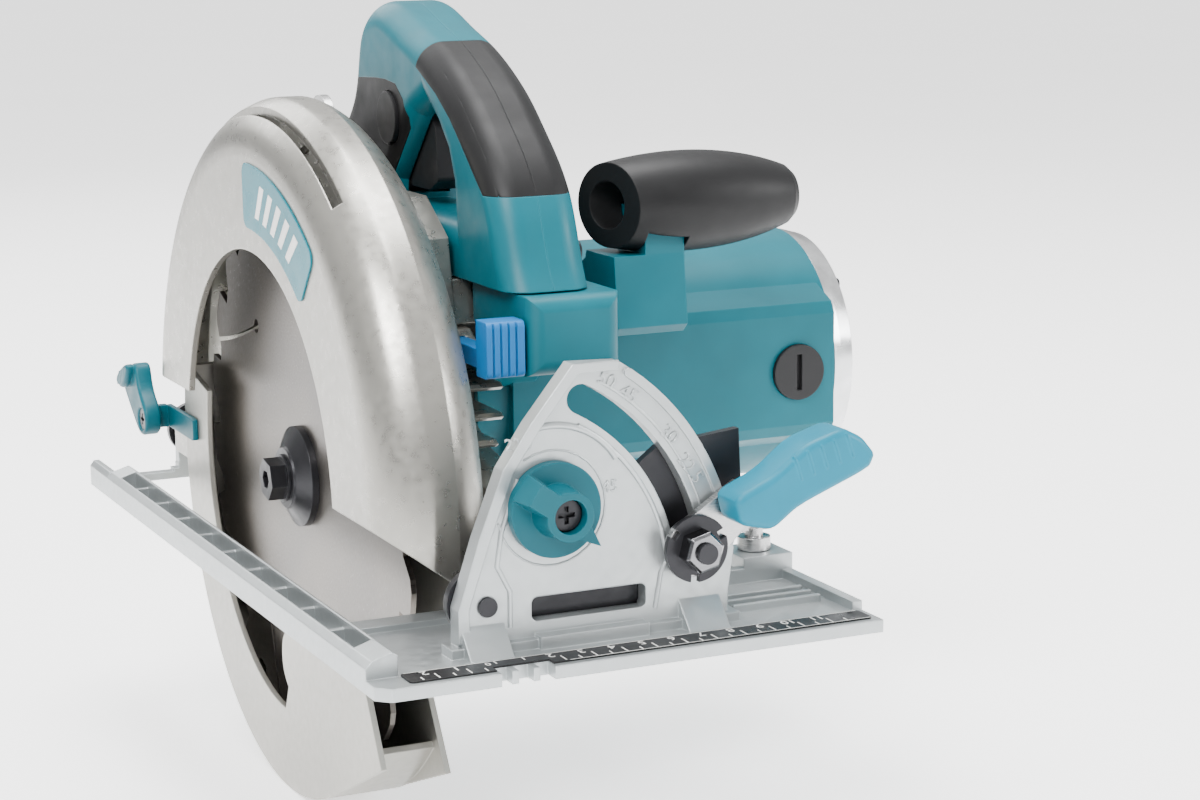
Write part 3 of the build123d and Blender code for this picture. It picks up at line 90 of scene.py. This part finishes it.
# ------------------------------------------------------------ settings
class SawColours(bpy.types.PropertyGroup):
    """Colours of the saw's finishes"""

    housing: FloatVectorProperty(
        name="Housing", description="Moulded motor housing and handle", subtype="COLOR",
        default=(0.0, 0.098, 0.128), min=0, max=1)
    knob: FloatVectorProperty(
        name="Knob", description="Stop knob and retracting lever", subtype="COLOR",
        default=(0.0, 0.075, 0.1), min=0, max=1)
    lever: FloatVectorProperty(
        name="Lever", description="Bevel clamp lever", subtype="COLOR",
        default=(0.0, 0.165, 0.25), min=0, max=1)
    lock: FloatVectorProperty(
        name="Shaft lock", description="Blue shaft lock", subtype="COLOR",
        default=(0.008, 0.13, 0.36), min=0, max=1)
    rubber: FloatVectorProperty(
        name="Rubber", description="Soft grips", subtype="COLOR",
        default=(0.007, 0.007, 0.0075), min=0, max=1)
    guard: FloatVectorProperty(
        name="Guard", description="Painted magnesium of the upper guard", subtype="COLOR",
        default=(0.35, 0.34, 0.31), min=0, max=1)
    base: FloatVectorProperty(
        name="Base", description="Cast aluminium of the base", subtype="COLOR",
        default=(0.40, 0.425, 0.43), min=0, max=1)
    # Blade colour is partly the dark ground steel's own tone and partly painted shade, darkened for the guard's
    # shadow on the blade.
    blade: FloatVectorProperty(
        name="Blade", description="Ground blade steel", subtype="COLOR",
        default=(0.15, 0.138, 0.128), min=0, max=1)


class SawSizes(bpy.types.PropertyGroup):
    """Small sizes that a user may change"""

    edge_softness: FloatProperty(
        name="Edge softness", description="Radius of the softened edges", subtype="DISTANCE", unit="LENGTH",
        default=0.7 * MM, min=0, max=3 * MM)
    ruler_digit: FloatProperty(
        name="Ruler digit", description="Height of the digits on the ruler", subtype="DISTANCE", unit="LENGTH",
        default=5.0 * MM, min=1 * MM, max=8 * MM)
    cast_digit: FloatProperty(
        name="Cast digit", description="Height of the raised digits of the angle scale", subtype="DISTANCE",
        unit="LENGTH", default=6.2 * MM, min=1 * MM, max=10 * MM)


def colours():
    return bpy.context.scene.saw_colours


def sizes():
    return bpy.context.scene.saw_sizes


# ------------------------------------------------------------ materials
def node_material(name):
    """An empty material with a Principled shader; returns it with its nodes, links and shader."""
    material = bpy.data.materials.new(name)
    material.use_nodes = True
    nodes = material.node_tree.nodes
    return material, nodes, material.node_tree.links, nodes["Principled BSDF"]


def noise(nodes, links, vector, scale, detail=4.0, roughness=0.5):
    """A noise texture on a given vector; returns its factor output."""
    texture = nodes.new("ShaderNodeTexNoise")
    texture.inputs["Scale"].default_value = scale
    texture.inputs["Detail"].default_value = detail
    texture.inputs["Roughness"].default_value = roughness
    links.new(vector, texture.inputs["Vector"])
    return texture.outputs["Fac"]


def spread(nodes, links, value, low_value, high_value):
    """Maps a 0..1 factor to a range."""
    remap = nodes.new("ShaderNodeMapRange")
    remap.inputs["From Min"].default_value = 0.3
    remap.inputs["From Max"].default_value = 0.7
    remap.inputs["To Min"].default_value = low_value
    remap.inputs["To Max"].default_value = high_value
    links.new(value, remap.inputs["Value"])
    return remap.outputs["Result"]


def tinted(nodes, links, factor, dark, light):
    """Colour that goes from dark to light with a factor."""
    ramp = nodes.new("ShaderNodeValToRGB")
    ramp.color_ramp.elements[0].position = 0.3
    ramp.color_ramp.elements[0].color = (*dark, 1)
    ramp.color_ramp.elements[1].position = 0.7
    ramp.color_ramp.elements[1].color = (*light, 1)
    links.new(factor, ramp.inputs["Fac"])
    return ramp.outputs["Color"]


def scaled(colour, factor):
    """A colour made darker or lighter."""
    return tuple(min(1.0, channel * factor) for channel in colour)


def edge_mask(nodes, links, radius):
    """1 where the surface turns sharply; marks the edges that get a painted highlight."""
    bevel = nodes.new("ShaderNodeBevel")
    bevel.samples = 4
    bevel.inputs["Radius"].default_value = radius
    geometry = nodes.new("ShaderNodeNewGeometry")
    dot = nodes.new("ShaderNodeVectorMath")
    dot.operation = "DOT_PRODUCT"
    links.new(bevel.outputs["Normal"], dot.inputs[0])
    links.new(geometry.outputs["Normal"], dot.inputs[1])
    mask = nodes.new("ShaderNodeMapRange")
    mask.inputs["From Min"].default_value = 0.995
    mask.inputs["From Max"].default_value = 0.86
    links.new(dot.outputs["Value"], mask.inputs["Value"])
    return mask.outputs["Result"]


def soft_bump(nodes, links, shader, height, strength, distance, softness):
    """Bump on top of softened edges."""
    bevel = nodes.new("ShaderNodeBevel")
    bevel.samples = 4
    bevel.inputs["Radius"].default_value = softness
    bump = nodes.new("ShaderNodeBump")
    bump.inputs["Strength"].default_value = strength
    bump.inputs["Distance"].default_value = distance
    links.new(height, bump.inputs["Height"])
    links.new(bevel.outputs["Normal"], bump.inputs["Normal"])
    links.new(bump.outputs["Normal"], shader.inputs["Normal"])


def object_vector(nodes):
    return nodes.new("ShaderNodeTexCoord").outputs["Object"]


def moulded(name, colour, roughness=0.42, grain=2600, depth=0.05, softness=None, sheen=0.0):
    """Moulded nylon or rubber: fine spark-eroded grain, slight mottling and a painted highlight on the edges."""
    material, nodes, links, shader = node_material(name)
    vector = object_vector(nodes)
    cloud = noise(nodes, links, vector, 38, 5)
    base = tinted(nodes, links, cloud, scaled(colour, 0.9), scaled(colour, 1.1))
    # Painted highlight: the edges are painted paler than the moulding.
    edge_highlight = nodes.new("ShaderNodeMix")
    edge_highlight.data_type = "RGBA"
    edge_highlight.blend_type = "MIX"
    links.new(edge_mask(nodes, links, 0.8 * MM), edge_highlight.inputs["Factor"])
    links.new(base, edge_highlight.inputs["A"])
    edge_highlight.inputs["B"].default_value = (*scaled(colour, 1.35), 1)
    links.new(edge_highlight.outputs["Result"], shader.inputs["Base Color"])
    links.new(spread(nodes, links, noise(nodes, links, vector, 120, 3), roughness - 0.05, roughness + 0.06),
              shader.inputs["Roughness"])
    grain_height = noise(nodes, links, vector, grain, 2, 0.6)
    soft_bump(nodes, links, shader, grain_height, depth, 0.15 * MM, softness or sizes().edge_softness)
    shader.inputs["Sheen Weight"].default_value = sheen
    shader.inputs["Specular IOR Level"].default_value = 0.22
    return material


def seam_height(nodes, links, vector, pebble):
    """Adds the rough parting strip round the rim of the upper guard to a bump height."""
    split = nodes.new("ShaderNodeSeparateXYZ")
    links.new(vector, split.inputs["Vector"])
    strip = nodes.new("ShaderNodeMath")
    strip.operation = "COMPARE"
    links.new(split.outputs["X"], strip.inputs[0])
    strip.inputs[1].default_value = 6.2 * MM
    strip.inputs[2].default_value = 1.3 * MM
    rough = spread(nodes, links, noise(nodes, links, vector, 700, 4, 0.6), 0.6, 1.6)
    part = nodes.new("ShaderNodeMath")
    part.operation = "MULTIPLY_ADD"
    links.new(strip.outputs[0], part.inputs[0])
    links.new(rough, part.inputs[1])
    links.new(pebble, part.inputs[2])
    return part.outputs[0]


def cast(name, colour, roughness=0.36, metallic=0.75, grain=900, depth=0.08, softness=None, seam=False):
    """Cast and painted or shot-blasted metal: fine pebble, mild clouding, a painted highlight on the edges."""
    material, nodes, links, shader = node_material(name)
    vector = object_vector(nodes)
    cloud = noise(nodes, links, vector, 16, 6)
    base = tinted(nodes, links, cloud, scaled(colour, 0.93), scaled(colour, 1.06))
    # Painted highlight: the edges are painted paler than the metal.
    edge_highlight = nodes.new("ShaderNodeMix")
    edge_highlight.data_type = "RGBA"
    links.new(edge_mask(nodes, links, 0.6 * MM), edge_highlight.inputs["Factor"])
    links.new(base, edge_highlight.inputs["A"])
    edge_highlight.inputs["B"].default_value = (*scaled(colour, 1.3), 1)
    links.new(edge_highlight.outputs["Result"], shader.inputs["Base Color"])
    shader.inputs["Metallic"].default_value = metallic
    links.new(spread(nodes, links, noise(nodes, links, vector, 300, 4), roughness - 0.05, roughness + 0.07),
              shader.inputs["Roughness"])
    pebble = noise(nodes, links, vector, grain, 3, 0.55)
    if seam:
        pebble = seam_height(nodes, links, vector, pebble)
    soft_bump(nodes, links, shader, pebble, depth, 0.2 * MM, softness or sizes().edge_softness)
    return material


def turned(name, colour, roughness=0.3, stretch=(1, 1, 60), metallic=1.0):
    """Turned or ground steel: fine lines along one direction."""
    material, nodes, links, shader = node_material(name)
    mapping = nodes.new("ShaderNodeMapping")
    mapping.inputs["Scale"].default_value = stretch
    links.new(object_vector(nodes), mapping.inputs["Vector"])
    lines = noise(nodes, links, mapping.outputs["Vector"], 90, 4, 0.6)
    links.new(tinted(nodes, links, lines, scaled(colour, 0.82), scaled(colour, 1.12)), shader.inputs["Base Color"])
    shader.inputs["Metallic"].default_value = metallic
    links.new(spread(nodes, links, lines, roughness - 0.06, roughness + 0.08), shader.inputs["Roughness"])
    soft_bump(nodes, links, shader, lines, 0.08, 0.1 * MM, 0.4 * MM)
    return material


def blade_face(name, colour):
    """Ground blade: rings of fine scratches about the spindle, with heat-tinted clouding."""
    material, nodes, links, shader = node_material(name)
    split = nodes.new("ShaderNodeSeparateXYZ")
    offset = nodes.new("ShaderNodeVectorMath")
    offset.operation = "SUBTRACT"
    offset.inputs[1].default_value = SPINDLE
    links.new(object_vector(nodes), offset.inputs[0])
    links.new(offset.outputs["Vector"], split.inputs["Vector"])
    length = nodes.new("ShaderNodeVectorMath")
    length.operation = "LENGTH"
    links.new(offset.outputs["Vector"], length.inputs[0])
    angle = nodes.new("ShaderNodeMath")
    angle.operation = "ARCTAN2"
    links.new(split.outputs["Z"], angle.inputs[0])
    links.new(split.outputs["Y"], angle.inputs[1])
    ring = nodes.new("ShaderNodeCombineXYZ")
    spin = nodes.new("ShaderNodeMath")
    spin.operation = "MULTIPLY"
    spin.inputs[1].default_value = 0.02
    links.new(angle.outputs[0], spin.inputs[0])
    links.new(length.outputs["Value"], ring.inputs["X"])
    links.new(spin.outputs[0], ring.inputs["Y"])
    scratches = noise(nodes, links, ring.outputs["Vector"], 1500, 5, 0.65)
    cloud = noise(nodes, links, object_vector(nodes), 22, 3)
    tint = tinted(nodes, links, cloud, scaled(colour, 0.85), (colour[0] * 1.12, colour[1] * 1.09, colour[2] * 1.02))
    lines = nodes.new("ShaderNodeMix")
    lines.data_type = "RGBA"
    lines.blend_type = "MULTIPLY"
    lines.inputs["Factor"].default_value = 0.5
    links.new(tint, lines.inputs["A"])
    links.new(tinted(nodes, links, scratches, (0.75, 0.75, 0.75), (1, 1, 1)), lines.inputs["B"])
    links.new(lines.outputs["Result"], shader.inputs["Base Color"])
    shader.inputs["Metallic"].default_value = 0.95
    links.new(spread(nodes, links, scratches, 0.26, 0.42), shader.inputs["Roughness"])
    soft_bump(nodes, links, shader, scratches, 0.1, 0.05 * MM, 0.3 * MM)
    return material


SLOT_BUILDERS = {
    "base_metal": lambda: cast("base_cast", colours().base, 0.34, 0.72),
    "guard_metal": lambda: cast("guard_paint", colours().guard, 0.3, 0.85, 1400, 0.05, 0.7 * MM, True),
    "lower_metal": lambda: cast("lower_guard_cast", scaled(colours().guard, 1.1), 0.38, 0.8),
    "end_metal": lambda: turned("end_cover_turned", (0.72, 0.73, 0.74), 0.22, (1, 1, 1)),
    "ruler_black": lambda: moulded("ruler_black", (0.012, 0.012, 0.013), 0.3, 1500, 0.03),
    "black_steel": lambda: cast("black_oxide", (0.02, 0.02, 0.023), 0.34, 0.6, 1200, 0.05, 0.4 * MM),
    "bright_steel": lambda: turned("zinc_steel", (0.5, 0.5, 0.5), 0.3),
    "chrome": lambda: turned("dark_nut", (0.2, 0.2, 0.21), 0.16),
    "core_steel": lambda: turned("laminated_steel", (0.25, 0.25, 0.27), 0.4, (60, 1, 1)),
    "bearing_steel": lambda: turned("bearing_steel", (0.5, 0.5, 0.52), 0.25),
    "brass": lambda: turned("brass_turned", (0.7, 0.48, 0.18), 0.28),
    "knob_plastic": lambda: moulded("knob_nylon", colours().knob, 0.38),
    "lever_plastic": lambda: moulded("lever_nylon", colours().lever, 0.38),
    "lock_plastic": lambda: moulded("lock_nylon", colours().lock, 0.4),
    "housing_plastic": lambda: moulded("housing_nylon", colours().housing, 0.4, 2600, 0.05),
    "label_teal": lambda: moulded("label_teal", (0.0, 0.13, 0.17), 0.25, 900, 0.01),
    "fan_plastic": lambda: moulded("fan_nylon", (0.03, 0.03, 0.03), 0.5),
    "carbon": lambda: moulded("brush_carbon", (0.02, 0.02, 0.02), 0.6),
    "black_plastic": lambda: moulded("black_nylon", (0.014, 0.014, 0.015), 0.38),
    "blade_steel": lambda: blade_face("blade_ground", colours().blade),
    "grip_rubber": lambda: moulded("grip_rubber", colours().rubber, 0.46, 1500, 0.1),
}


def slot_material(slot_name):
    """The material of a record slot, made once."""
    key = "slot_" + slot_name
    if key not in bpy.data.materials:
        made = SLOT_BUILDERS[slot_name]()
        made.name = key
    return bpy.data.materials[key]


def finish_node(node, slot_name):
    """Gives a CAD node its procedural material."""
    shown = frame["nodes"][node]
    material = slot_material(slot_name)
    if shown.material_slots:
        for material_slot in shown.material_slots:
            material_slot.material = material
    else:
        shown.data.materials.append(material)


# ------------------------------------------------------------ pieces
def add_piece(name, mesh, body, slot_name, material=None, replaced=()):
    """Links a finished mesh as a piece that rides on a body."""
    shape = bpy.data.objects.new(name, mesh)
    bpy.context.scene.collection.objects.link(shape)
    mesh.materials.clear()
    mesh.materials.append(material or slot_material(slot_name))
    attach(shape, body)
    if replaced:
        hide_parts(*replaced)
    return shape


def text_mesh(words, height, thickness, matrix):
    """Mesh of a short text, centred, in the XY plane of a matrix."""
    curve = bpy.data.curves.new("words", "FONT")
    curve.body = words
    curve.size = height
    curve.align_x = "CENTER"
    curve.align_y = "CENTER"
    curve.extrude = thickness
    curve.resolution_u = 3
    holder = bpy.data.objects.new("words", curve)
    bpy.context.scene.collection.objects.link(holder)
    bpy.context.view_layer.update()
    mesh = bpy.data.meshes.new_from_object(holder.evaluated_get(bpy.context.evaluated_depsgraph_get()))
    bpy.data.objects.remove(holder)
    mesh.transform(matrix)
    return mesh


def merge(meshes, name):
    """One mesh from several."""
    joined = bmesh.new()
    for mesh in meshes:
        joined.from_mesh(mesh)
        bpy.data.meshes.remove(mesh)
    result = bpy.data.meshes.new(name)
    joined.to_mesh(result)
    joined.free()
    return result


def box_mesh(centre, size, turn=None):
    """A small box, used only as a mark or tick."""
    shape = bmesh.new()
    bmesh.ops.create_cube(shape, size=1)
    bmesh.ops.scale(shape, vec=size, verts=shape.verts)
    if turn:
        bmesh.ops.transform(shape, matrix=turn, verts=shape.verts)
    bmesh.ops.translate(shape, vec=centre, verts=shape.verts)
    mesh = bpy.data.meshes.new("mark")
    shape.to_mesh(mesh)
    shape.free()
    return mesh


def softened(points, rounds=2, cut=0.22):
    """A closed outline with its corners cut off again and again."""
    for _ in range(rounds):
        cut_points = []
        for start, end in zip(points, points[1:] + points[:1]):
            cut_points.append(tuple(a + (b - a) * cut for a, b in zip(start, end)))
            cut_points.append(tuple(b + (a - b) * cut for a, b in zip(start, end)))
        points = cut_points
    return points


def curve_mesh(splines, matrix, depth=0.0, bevel=0.0, filled=False, closed=True):
    """Mesh of one or more outlines in mm: a filled plate with rounded edges, or a round wire."""
    curve = bpy.data.curves.new("outline", "CURVE")
    curve.dimensions = "2D" if filled else "3D"
    if filled:
        curve.fill_mode = "BOTH"
        curve.extrude = (depth / 2 - bevel) * MM
        curve.offset = -bevel * MM
    curve.bevel_depth = bevel * MM
    curve.bevel_resolution = 4
    for points in splines:
        spline = curve.splines.new("POLY")
        spline.points.add(len(points) - 1)
        for point, place in zip(spline.points, points):
            point.co = (place[0] * MM, place[1] * MM, 0, 1)
        spline.use_cyclic_u = closed
    holder = bpy.data.objects.new("outline", curve)
    bpy.context.scene.collection.objects.link(holder)
    bpy.context.view_layer.update()
    mesh = bpy.data.meshes.new_from_object(holder.evaluated_get(bpy.context.evaluated_depsgraph_get()))
    bpy.data.objects.remove(holder)
    mesh.transform(matrix)
    mesh.shade_smooth()
    mesh.set_sharp_from_angle(angle=math.radians(35))
    return mesh


def front_at(y):
    """Matrix that stands an (X, Z) outline at a Y in mm."""
    return Matrix.Translation((0, y * MM, 0)) @ FRONT_FACING


def side_at(x):
    """Matrix that stands a (Y, Z) outline at an X in mm."""
    return Matrix.Translation((x * MM, 0, 0)) @ SIDE_FACING


def arc(centre, radius, start, end, steps=24):
    """Points along an arc in mm and degrees."""
    turns = [math.radians(start + (end - start) * step / steps) for step in range(steps + 1)]
    return [(centre[0] + radius * math.cos(turn), centre[1] + radius * math.sin(turn)) for turn in turns]


FRONT_FACING = Matrix(((1, 0, 0), (0, 0, -1), (0, 1, 0))).to_4x4()
SIDE_FACING = Matrix(((0, 0, 1), (1, 0, 0), (0, 1, 0))).to_4x4()


class SAW_OT_finishes(bpy.types.Operator):
    """Gives every CAD node its procedural material"""

    bl_idname = "saw.finishes"
    bl_label = "Finish CAD nodes"

    def execute(self, context):
        for row in frame["record"]["subparts"]:
            finish_node(row["node"], row["material_slot"])
        return {"FINISHED"}


class SAW_OT_ruler(bpy.types.Operator):
    """Prints the white ruler marks and digits on the front edge of the base"""

    bl_idname = "saw.ruler"
    bl_label = "Ruler marks"

    def execute(self, context):
        top = high("ruler_plate").z + 0.03 * MM
        front = low("ruler_plate").y
        digit = sizes().ruler_digit
        turned_round = Matrix.Rotation(math.pi, 4, "Z")
        marks = []
        for step in range(-5, 24):
            x = 5 * step * MM
            if -3 * MM < x < 16 * MM:
                continue
            length = (4.6 if step % 2 == 0 else 2.6) * MM
            marks.append(box_mesh((x, front + 0.7 * MM + length / 2, top), (0.4 * MM, length, 0.05 * MM)))
        for x in (0, 9):
            marks.append(box_mesh((x * MM, front + 7.6 * MM, top), (0.4 * MM, 2.6 * MM, 0.05 * MM)))
        for number in range(-2, 12):
            if number == 1:
                continue
            size = digit * (0.75 if number == 0 else 1)
            place = Matrix.Translation((number * 10 * MM - 2.6 * MM, front + 7.0 * MM, top)) @ turned_round
            marks.append(text_mesh(str(abs(number)), size, 0.03 * MM, place))
        for back in (0.35 * MM, 9.1 * MM):
            marks.append(box_mesh((72 * MM if back < MM else 47.2 * MM, front + back, top),
                                  (102 * MM if back < MM else 151 * MM, 0.25 * MM, 0.05 * MM)))
        paint = moulded("ruler_white", (0.75, 0.75, 0.72), 0.5, 1200, 0.02)
        add_piece("ruler_marks", merge(marks, "ruler_marks"), "base", "ruler_black", paint)
        return {"FINISHED"}


class SAW_OT_lever_grip(bpy.types.Operator):
    """Shapes the moulded grip of the bevel clamp lever, with its finger ribs"""

    bl_idname = "saw.lever_grip"
    bl_label = "Bevel lever grip"

    def execute(self, context):
        outline = [(75.8, 47), (78, 38.3), (89, 35.8), (98, 42.3), (122.6, 51.6), (124.6, 56), (120, 61.6),
                   (113, 65.2), (100, 61.2), (89, 52.8)]
        meshes = [curve_mesh([softened(outline, 2, 0.14)], front_at(-169.3), 14.8, 2.2, True)]
        for ridge in range(5):
            x, z = 97 + 4.5 * ridge, 54 + 1.35 * ridge
            rib = [(x - 1.9, z + 4), (x - 0.7, z + 4.3), (x + 1.9, z - 3.6), (x + 0.7, z - 4)]
            meshes.append(curve_mesh([softened(rib, 1)], front_at(-176.1), 1.4, 0.55, True))
        add_piece("bevel_lever_grip_moulded", merge(meshes, "bevel_lever_grip_moulded"), "bevel_lever",
                  "lever_plastic", replaced=("bevel_lever_grip",))
        return {"FINISHED"}


class SAW_OT_retract_lever(bpy.types.Operator):
    """Shapes the moulded retracting lever with its thumb rest, screw boss and tongue"""

    bl_idname = "saw.retract_lever"
    bl_label = "Retracting lever"

    def execute(self, context):
        body = [(121.2, 24), (127, 20.4), (133, 21.2), (145, 30), (153.8, 37), (151, 41.8), (138, 47.8),
                (134, 46.8), (131, 38), (121.7, 31)]
        thumb = [(143.2, 36.2), (152.8, 37.6), (150.9, 41.8), (138, 47.7), (134.2, 45.8)]
        meshes = [curve_mesh([softened(body), arc((128, 27), 4.1, 0, 350, 30)], side_at(-19.8), 6.4, 1.2, True),
                  curve_mesh([softened(thumb)], side_at(-24.2), 3.6, 1.2, True)]
        tongue = [(94.2, 23.2), (130.8, 23.2), (130.8, 31.8), (94.2, 31.8)]
        meshes.append(curve_mesh([softened(tongue, 1, 0.06)], side_at(-11.3), 2.1, 0.5, True))
        link = [(126.8, 23.2), (130.8, 23.2), (130.8, 31.8), (126.8, 31.8)]
        meshes.append(curve_mesh([softened(link, 1, 0.1)], side_at(-14.5), 4.4, 0.4, True))
        for ridge in range(3):
            y = 139.5 + 4 * ridge
            meshes.append(curve_mesh([[(y, 45.6 - 1.4 * ridge), (y + 3, 39.4 - 0.9 * ridge)]], side_at(-25.5),
                                     bevel=0.45, closed=False))
        add_piece("retract_lever_moulded", merge(meshes, "retract_lever_moulded"), "moving_guard",
                  "knob_plastic", replaced=("retract_lever",))
        return {"FINISHED"}


class SAW_OT_quadrant_relief(bpy.types.Operator):
    """Raises the cast ridges on the face of the quadrant"""

    bl_idname = "saw.quadrant_relief"
    bl_label = "Quadrant relief"

    def execute(self, context):
        knob = (KNOB.x / MM, KNOB.z / MM)
        pivot = (BEVEL.x / MM, BEVEL.z / MM)
        face = -157.2
        meshes = [curve_mesh([arc(knob, 17.6, -170, 120)], front_at(face), bevel=0.35, closed=False),
                  curve_mesh([arc(knob, 25, 104, 32)], front_at(face), bevel=1.1, closed=False),
                  curve_mesh([arc(pivot, 60.2, 6, 60)], front_at(face), bevel=0.8, closed=False),
                  curve_mesh([arc(pivot, 74.8, 8, 60)], front_at(face), bevel=0.5, closed=False),
                  curve_mesh([[(10, 11), (10, 22), (6, 30), (7.5, 40), (13, 56)]], front_at(face), bevel=0.8,
                             closed=False),
                  curve_mesh([[(58, 11), (60, 22), (62.6, 26)]], front_at(face), bevel=0.8, closed=False)]
        add_piece("quadrant_relief", merge(meshes, "quadrant_relief"), "base", "base_metal")
        return {"FINISHED"}


class SAW_OT_label_mark(bpy.types.Operator):
    """Prints plain slanted bars on the guard label"""

    bl_idname = "saw.label_mark"
    bl_label = "Label mark"

    def execute(self, context):
        meshes = []
        centre = (SPINDLE.y / MM, SPINDLE.z / MM)
        for first in (97, 102, 107, 112, 117):
            bar = arc(centre, 93, first, first + 2.4, 3) + arc(centre, 105, first + 5, first + 2.6, 3)
            meshes.append(curve_mesh([bar], side_at(-18.62), 0.12, 0.02, True))
        paint = moulded("label_white", (0.72, 0.72, 0.7), 0.35, 900, 0.01)
        add_piece("label_mark", merge(meshes, "label_mark"), "saw_body", "label_teal", paint)
        return {"FINISHED"}


class SAW_OT_angle_scale(bpy.types.Operator):
    """Raises the cast digits of the bevel scale on the quadrant"""

    bl_idname = "saw.angle_scale"
    bl_label = "Angle scale"

    def execute(self, context):
        face = -157.2 * MM
        digit = sizes().cast_digit
        shapes = []
        for words, angle in (("50", 58.5), ("45", 52), ("30", 37.5), ("22.5", 27.5)):
            direction = math.radians(angle)
            centre = BEVEL + 76.2 * MM * Vector((math.cos(direction), 0, math.sin(direction)))
            turn = Matrix.Rotation(math.radians(90 - angle) * 0.85, 4, "Y")
            place = Matrix.Translation((centre.x, face, centre.z)) @ turn @ FRONT_FACING
            shapes.append(text_mesh(words, digit, 0.5 * MM, place))
        for words, x, z in (("22.5", 13.5, 66.2), ("45", 43.2, 50.5)):
            place = Matrix.Translation((x * MM, face, z * MM)) @ FRONT_FACING
            shapes.append(text_mesh(words, digit * 0.85, 0.4 * MM, place))
        add_piece("angle_scale", merge(shapes, "angle_scale"), "base", "base_metal")
        return {"FINISHED"}


# ------------------------------------------------------------ stage
class SAW_OT_stage(bpy.types.Operator):
    """Sets the pale floor, the soft studio lights and the camera"""

    bl_idname = "saw.stage"
    bl_label = "Stage"

    def execute(self, context):
        self.floor()
        self.lights()
        self.camera()
        return {"FINISHED"}

    def floor(self):
        bottom = CAD_BOX[0][2]
        shape = bmesh.new()
        bmesh.ops.create_grid(shape, x_segments=1, y_segments=1, size=60)
        bmesh.ops.translate(shape, vec=(0, 0, bottom - 0.2 * MM), verts=shape.verts)
        mesh = bpy.data.meshes.new("floor")
        shape.to_mesh(mesh)
        shape.free()
        floor = bpy.data.objects.new("floor", mesh)
        bpy.context.scene.collection.objects.link(floor)
        material, nodes, links, shader = node_material("floor_paper")
        cloud = noise(nodes, links, object_vector(nodes), 3, 2)
        links.new(tinted(nodes, links, cloud, (0.9, 0.9, 0.9), (0.93, 0.93, 0.93)), shader.inputs["Base Color"])
        shader.inputs["Roughness"].default_value = 0.9
        shader.inputs["Emission Color"].default_value = (1, 1, 1, 1)
        shader.inputs["Emission Strength"].default_value = 1.1
        mesh.materials.append(material)

    def lights(self):
        world = bpy.data.worlds.new("studio")
        world.use_nodes = True
        nodes, links = world.node_tree.nodes, world.node_tree.links
        split = nodes.new("ShaderNodeSeparateXYZ")
        links.new(nodes.new("ShaderNodeTexCoord").outputs["Generated"], split.inputs["Vector"])
        dome = nodes.new("ShaderNodeValToRGB")
        dome.color_ramp.elements[0].position = 0.02
        dome.color_ramp.elements[0].color = (0.3, 0.31, 0.32, 1)
        dome.color_ramp.elements[1].position = 0.55
        dome.color_ramp.elements[1].color = (1, 1, 1, 1)
        links.new(split.outputs["Z"], dome.inputs["Fac"])
        links.new(dome.outputs["Color"], nodes["Background"].inputs["Color"])
        nodes["Background"].inputs["Strength"].default_value = 1.15
        bpy.context.scene.world = world
        for name, place, size, power in (("key", (-0.9, -0.9, 1.3), 0.7, 42), ("top", (0.2, 0.1, 1.6), 1.0, 44),
                                         ("side", (1.5, -1.0, 0.6), 0.6, 20), ("back", (-0.2, 1.4, 1.0), 1.0, 16)):
            light = bpy.data.lights.new(name, "AREA")
            light.size = size
            light.energy = power
            lamp = bpy.data.objects.new(name, light)
            bpy.context.scene.collection.objects.link(lamp)
            lamp.location = place
            aim = Vector((0.04, -0.02, 0.05)) - lamp.location
            lamp.rotation_euler = aim.to_track_quat("-Z", "Y").to_euler()

    def camera(self):
        yaw, pitch, roll = (math.radians(turn) for turn in (24.89, 10.89, -0.61))
        forward = Vector((math.sin(yaw) * math.cos(pitch), math.cos(yaw) * math.cos(pitch), -math.sin(pitch)))
        right = forward.cross(Vector((0, 0, 1))).normalized()
        up = right.cross(forward)
        side = right * math.cos(roll) + up * math.sin(roll)
        top = up * math.cos(roll) - right * math.sin(roll)
        view = bpy.data.cameras.new("view")
        view.lens = 80.66
        view.sensor_width = 36
        camera = bpy.data.objects.new("view", view)
        bpy.context.scene.collection.objects.link(camera)
        turn = Matrix((side, top, -forward)).transposed().to_4x4()
        camera.matrix_world = Matrix.Translation((-291.1 * MM, -871.4 * MM, 228.7 * MM)) @ turn
        bpy.context.scene.camera = camera


class SAW_PT_panel(bpy.types.Panel):
    """Lists the operators that build the saw"""

    bl_idname = "SAW_PT_panel"
    bl_label = "Circular saw"
    bl_space_type = "VIEW_3D"
    bl_region_type = "UI"
    bl_category = "Saw"

    def draw(self, context):
        for group in (context.scene.saw_colours, context.scene.saw_sizes):
            box = self.layout.box()
            for key in group.__annotations__:
                box.prop(group, key)
        for operator in OPERATORS:
            self.layout.operator(operator.bl_idname)


OPERATORS = (SAW_OT_finishes, SAW_OT_ruler, SAW_OT_angle_scale, SAW_OT_quadrant_relief, SAW_OT_label_mark,
             SAW_OT_lever_grip, SAW_OT_retract_lever, SAW_OT_stage)
CLASSES = (SawColours, SawSizes, *OPERATORS, SAW_PT_panel)


def register():
    for cls in CLASSES:
        bpy.utils.register_class(cls)
    bpy.types.Scene.saw_colours = PointerProperty(type=SawColours)
    bpy.types.Scene.saw_sizes = PointerProperty(type=SawSizes)


def unregister():
    del bpy.types.Scene.saw_sizes
    del bpy.types.Scene.saw_colours
    for cls in reversed(CLASSES):
        bpy.utils.unregister_class(cls)


def main():
    register()
    for operator in OPERATORS:
        group, name = operator.bl_idname.split(".")
        getattr(getattr(bpy.ops, group), name)()


if __name__ == "__main__":
    main()
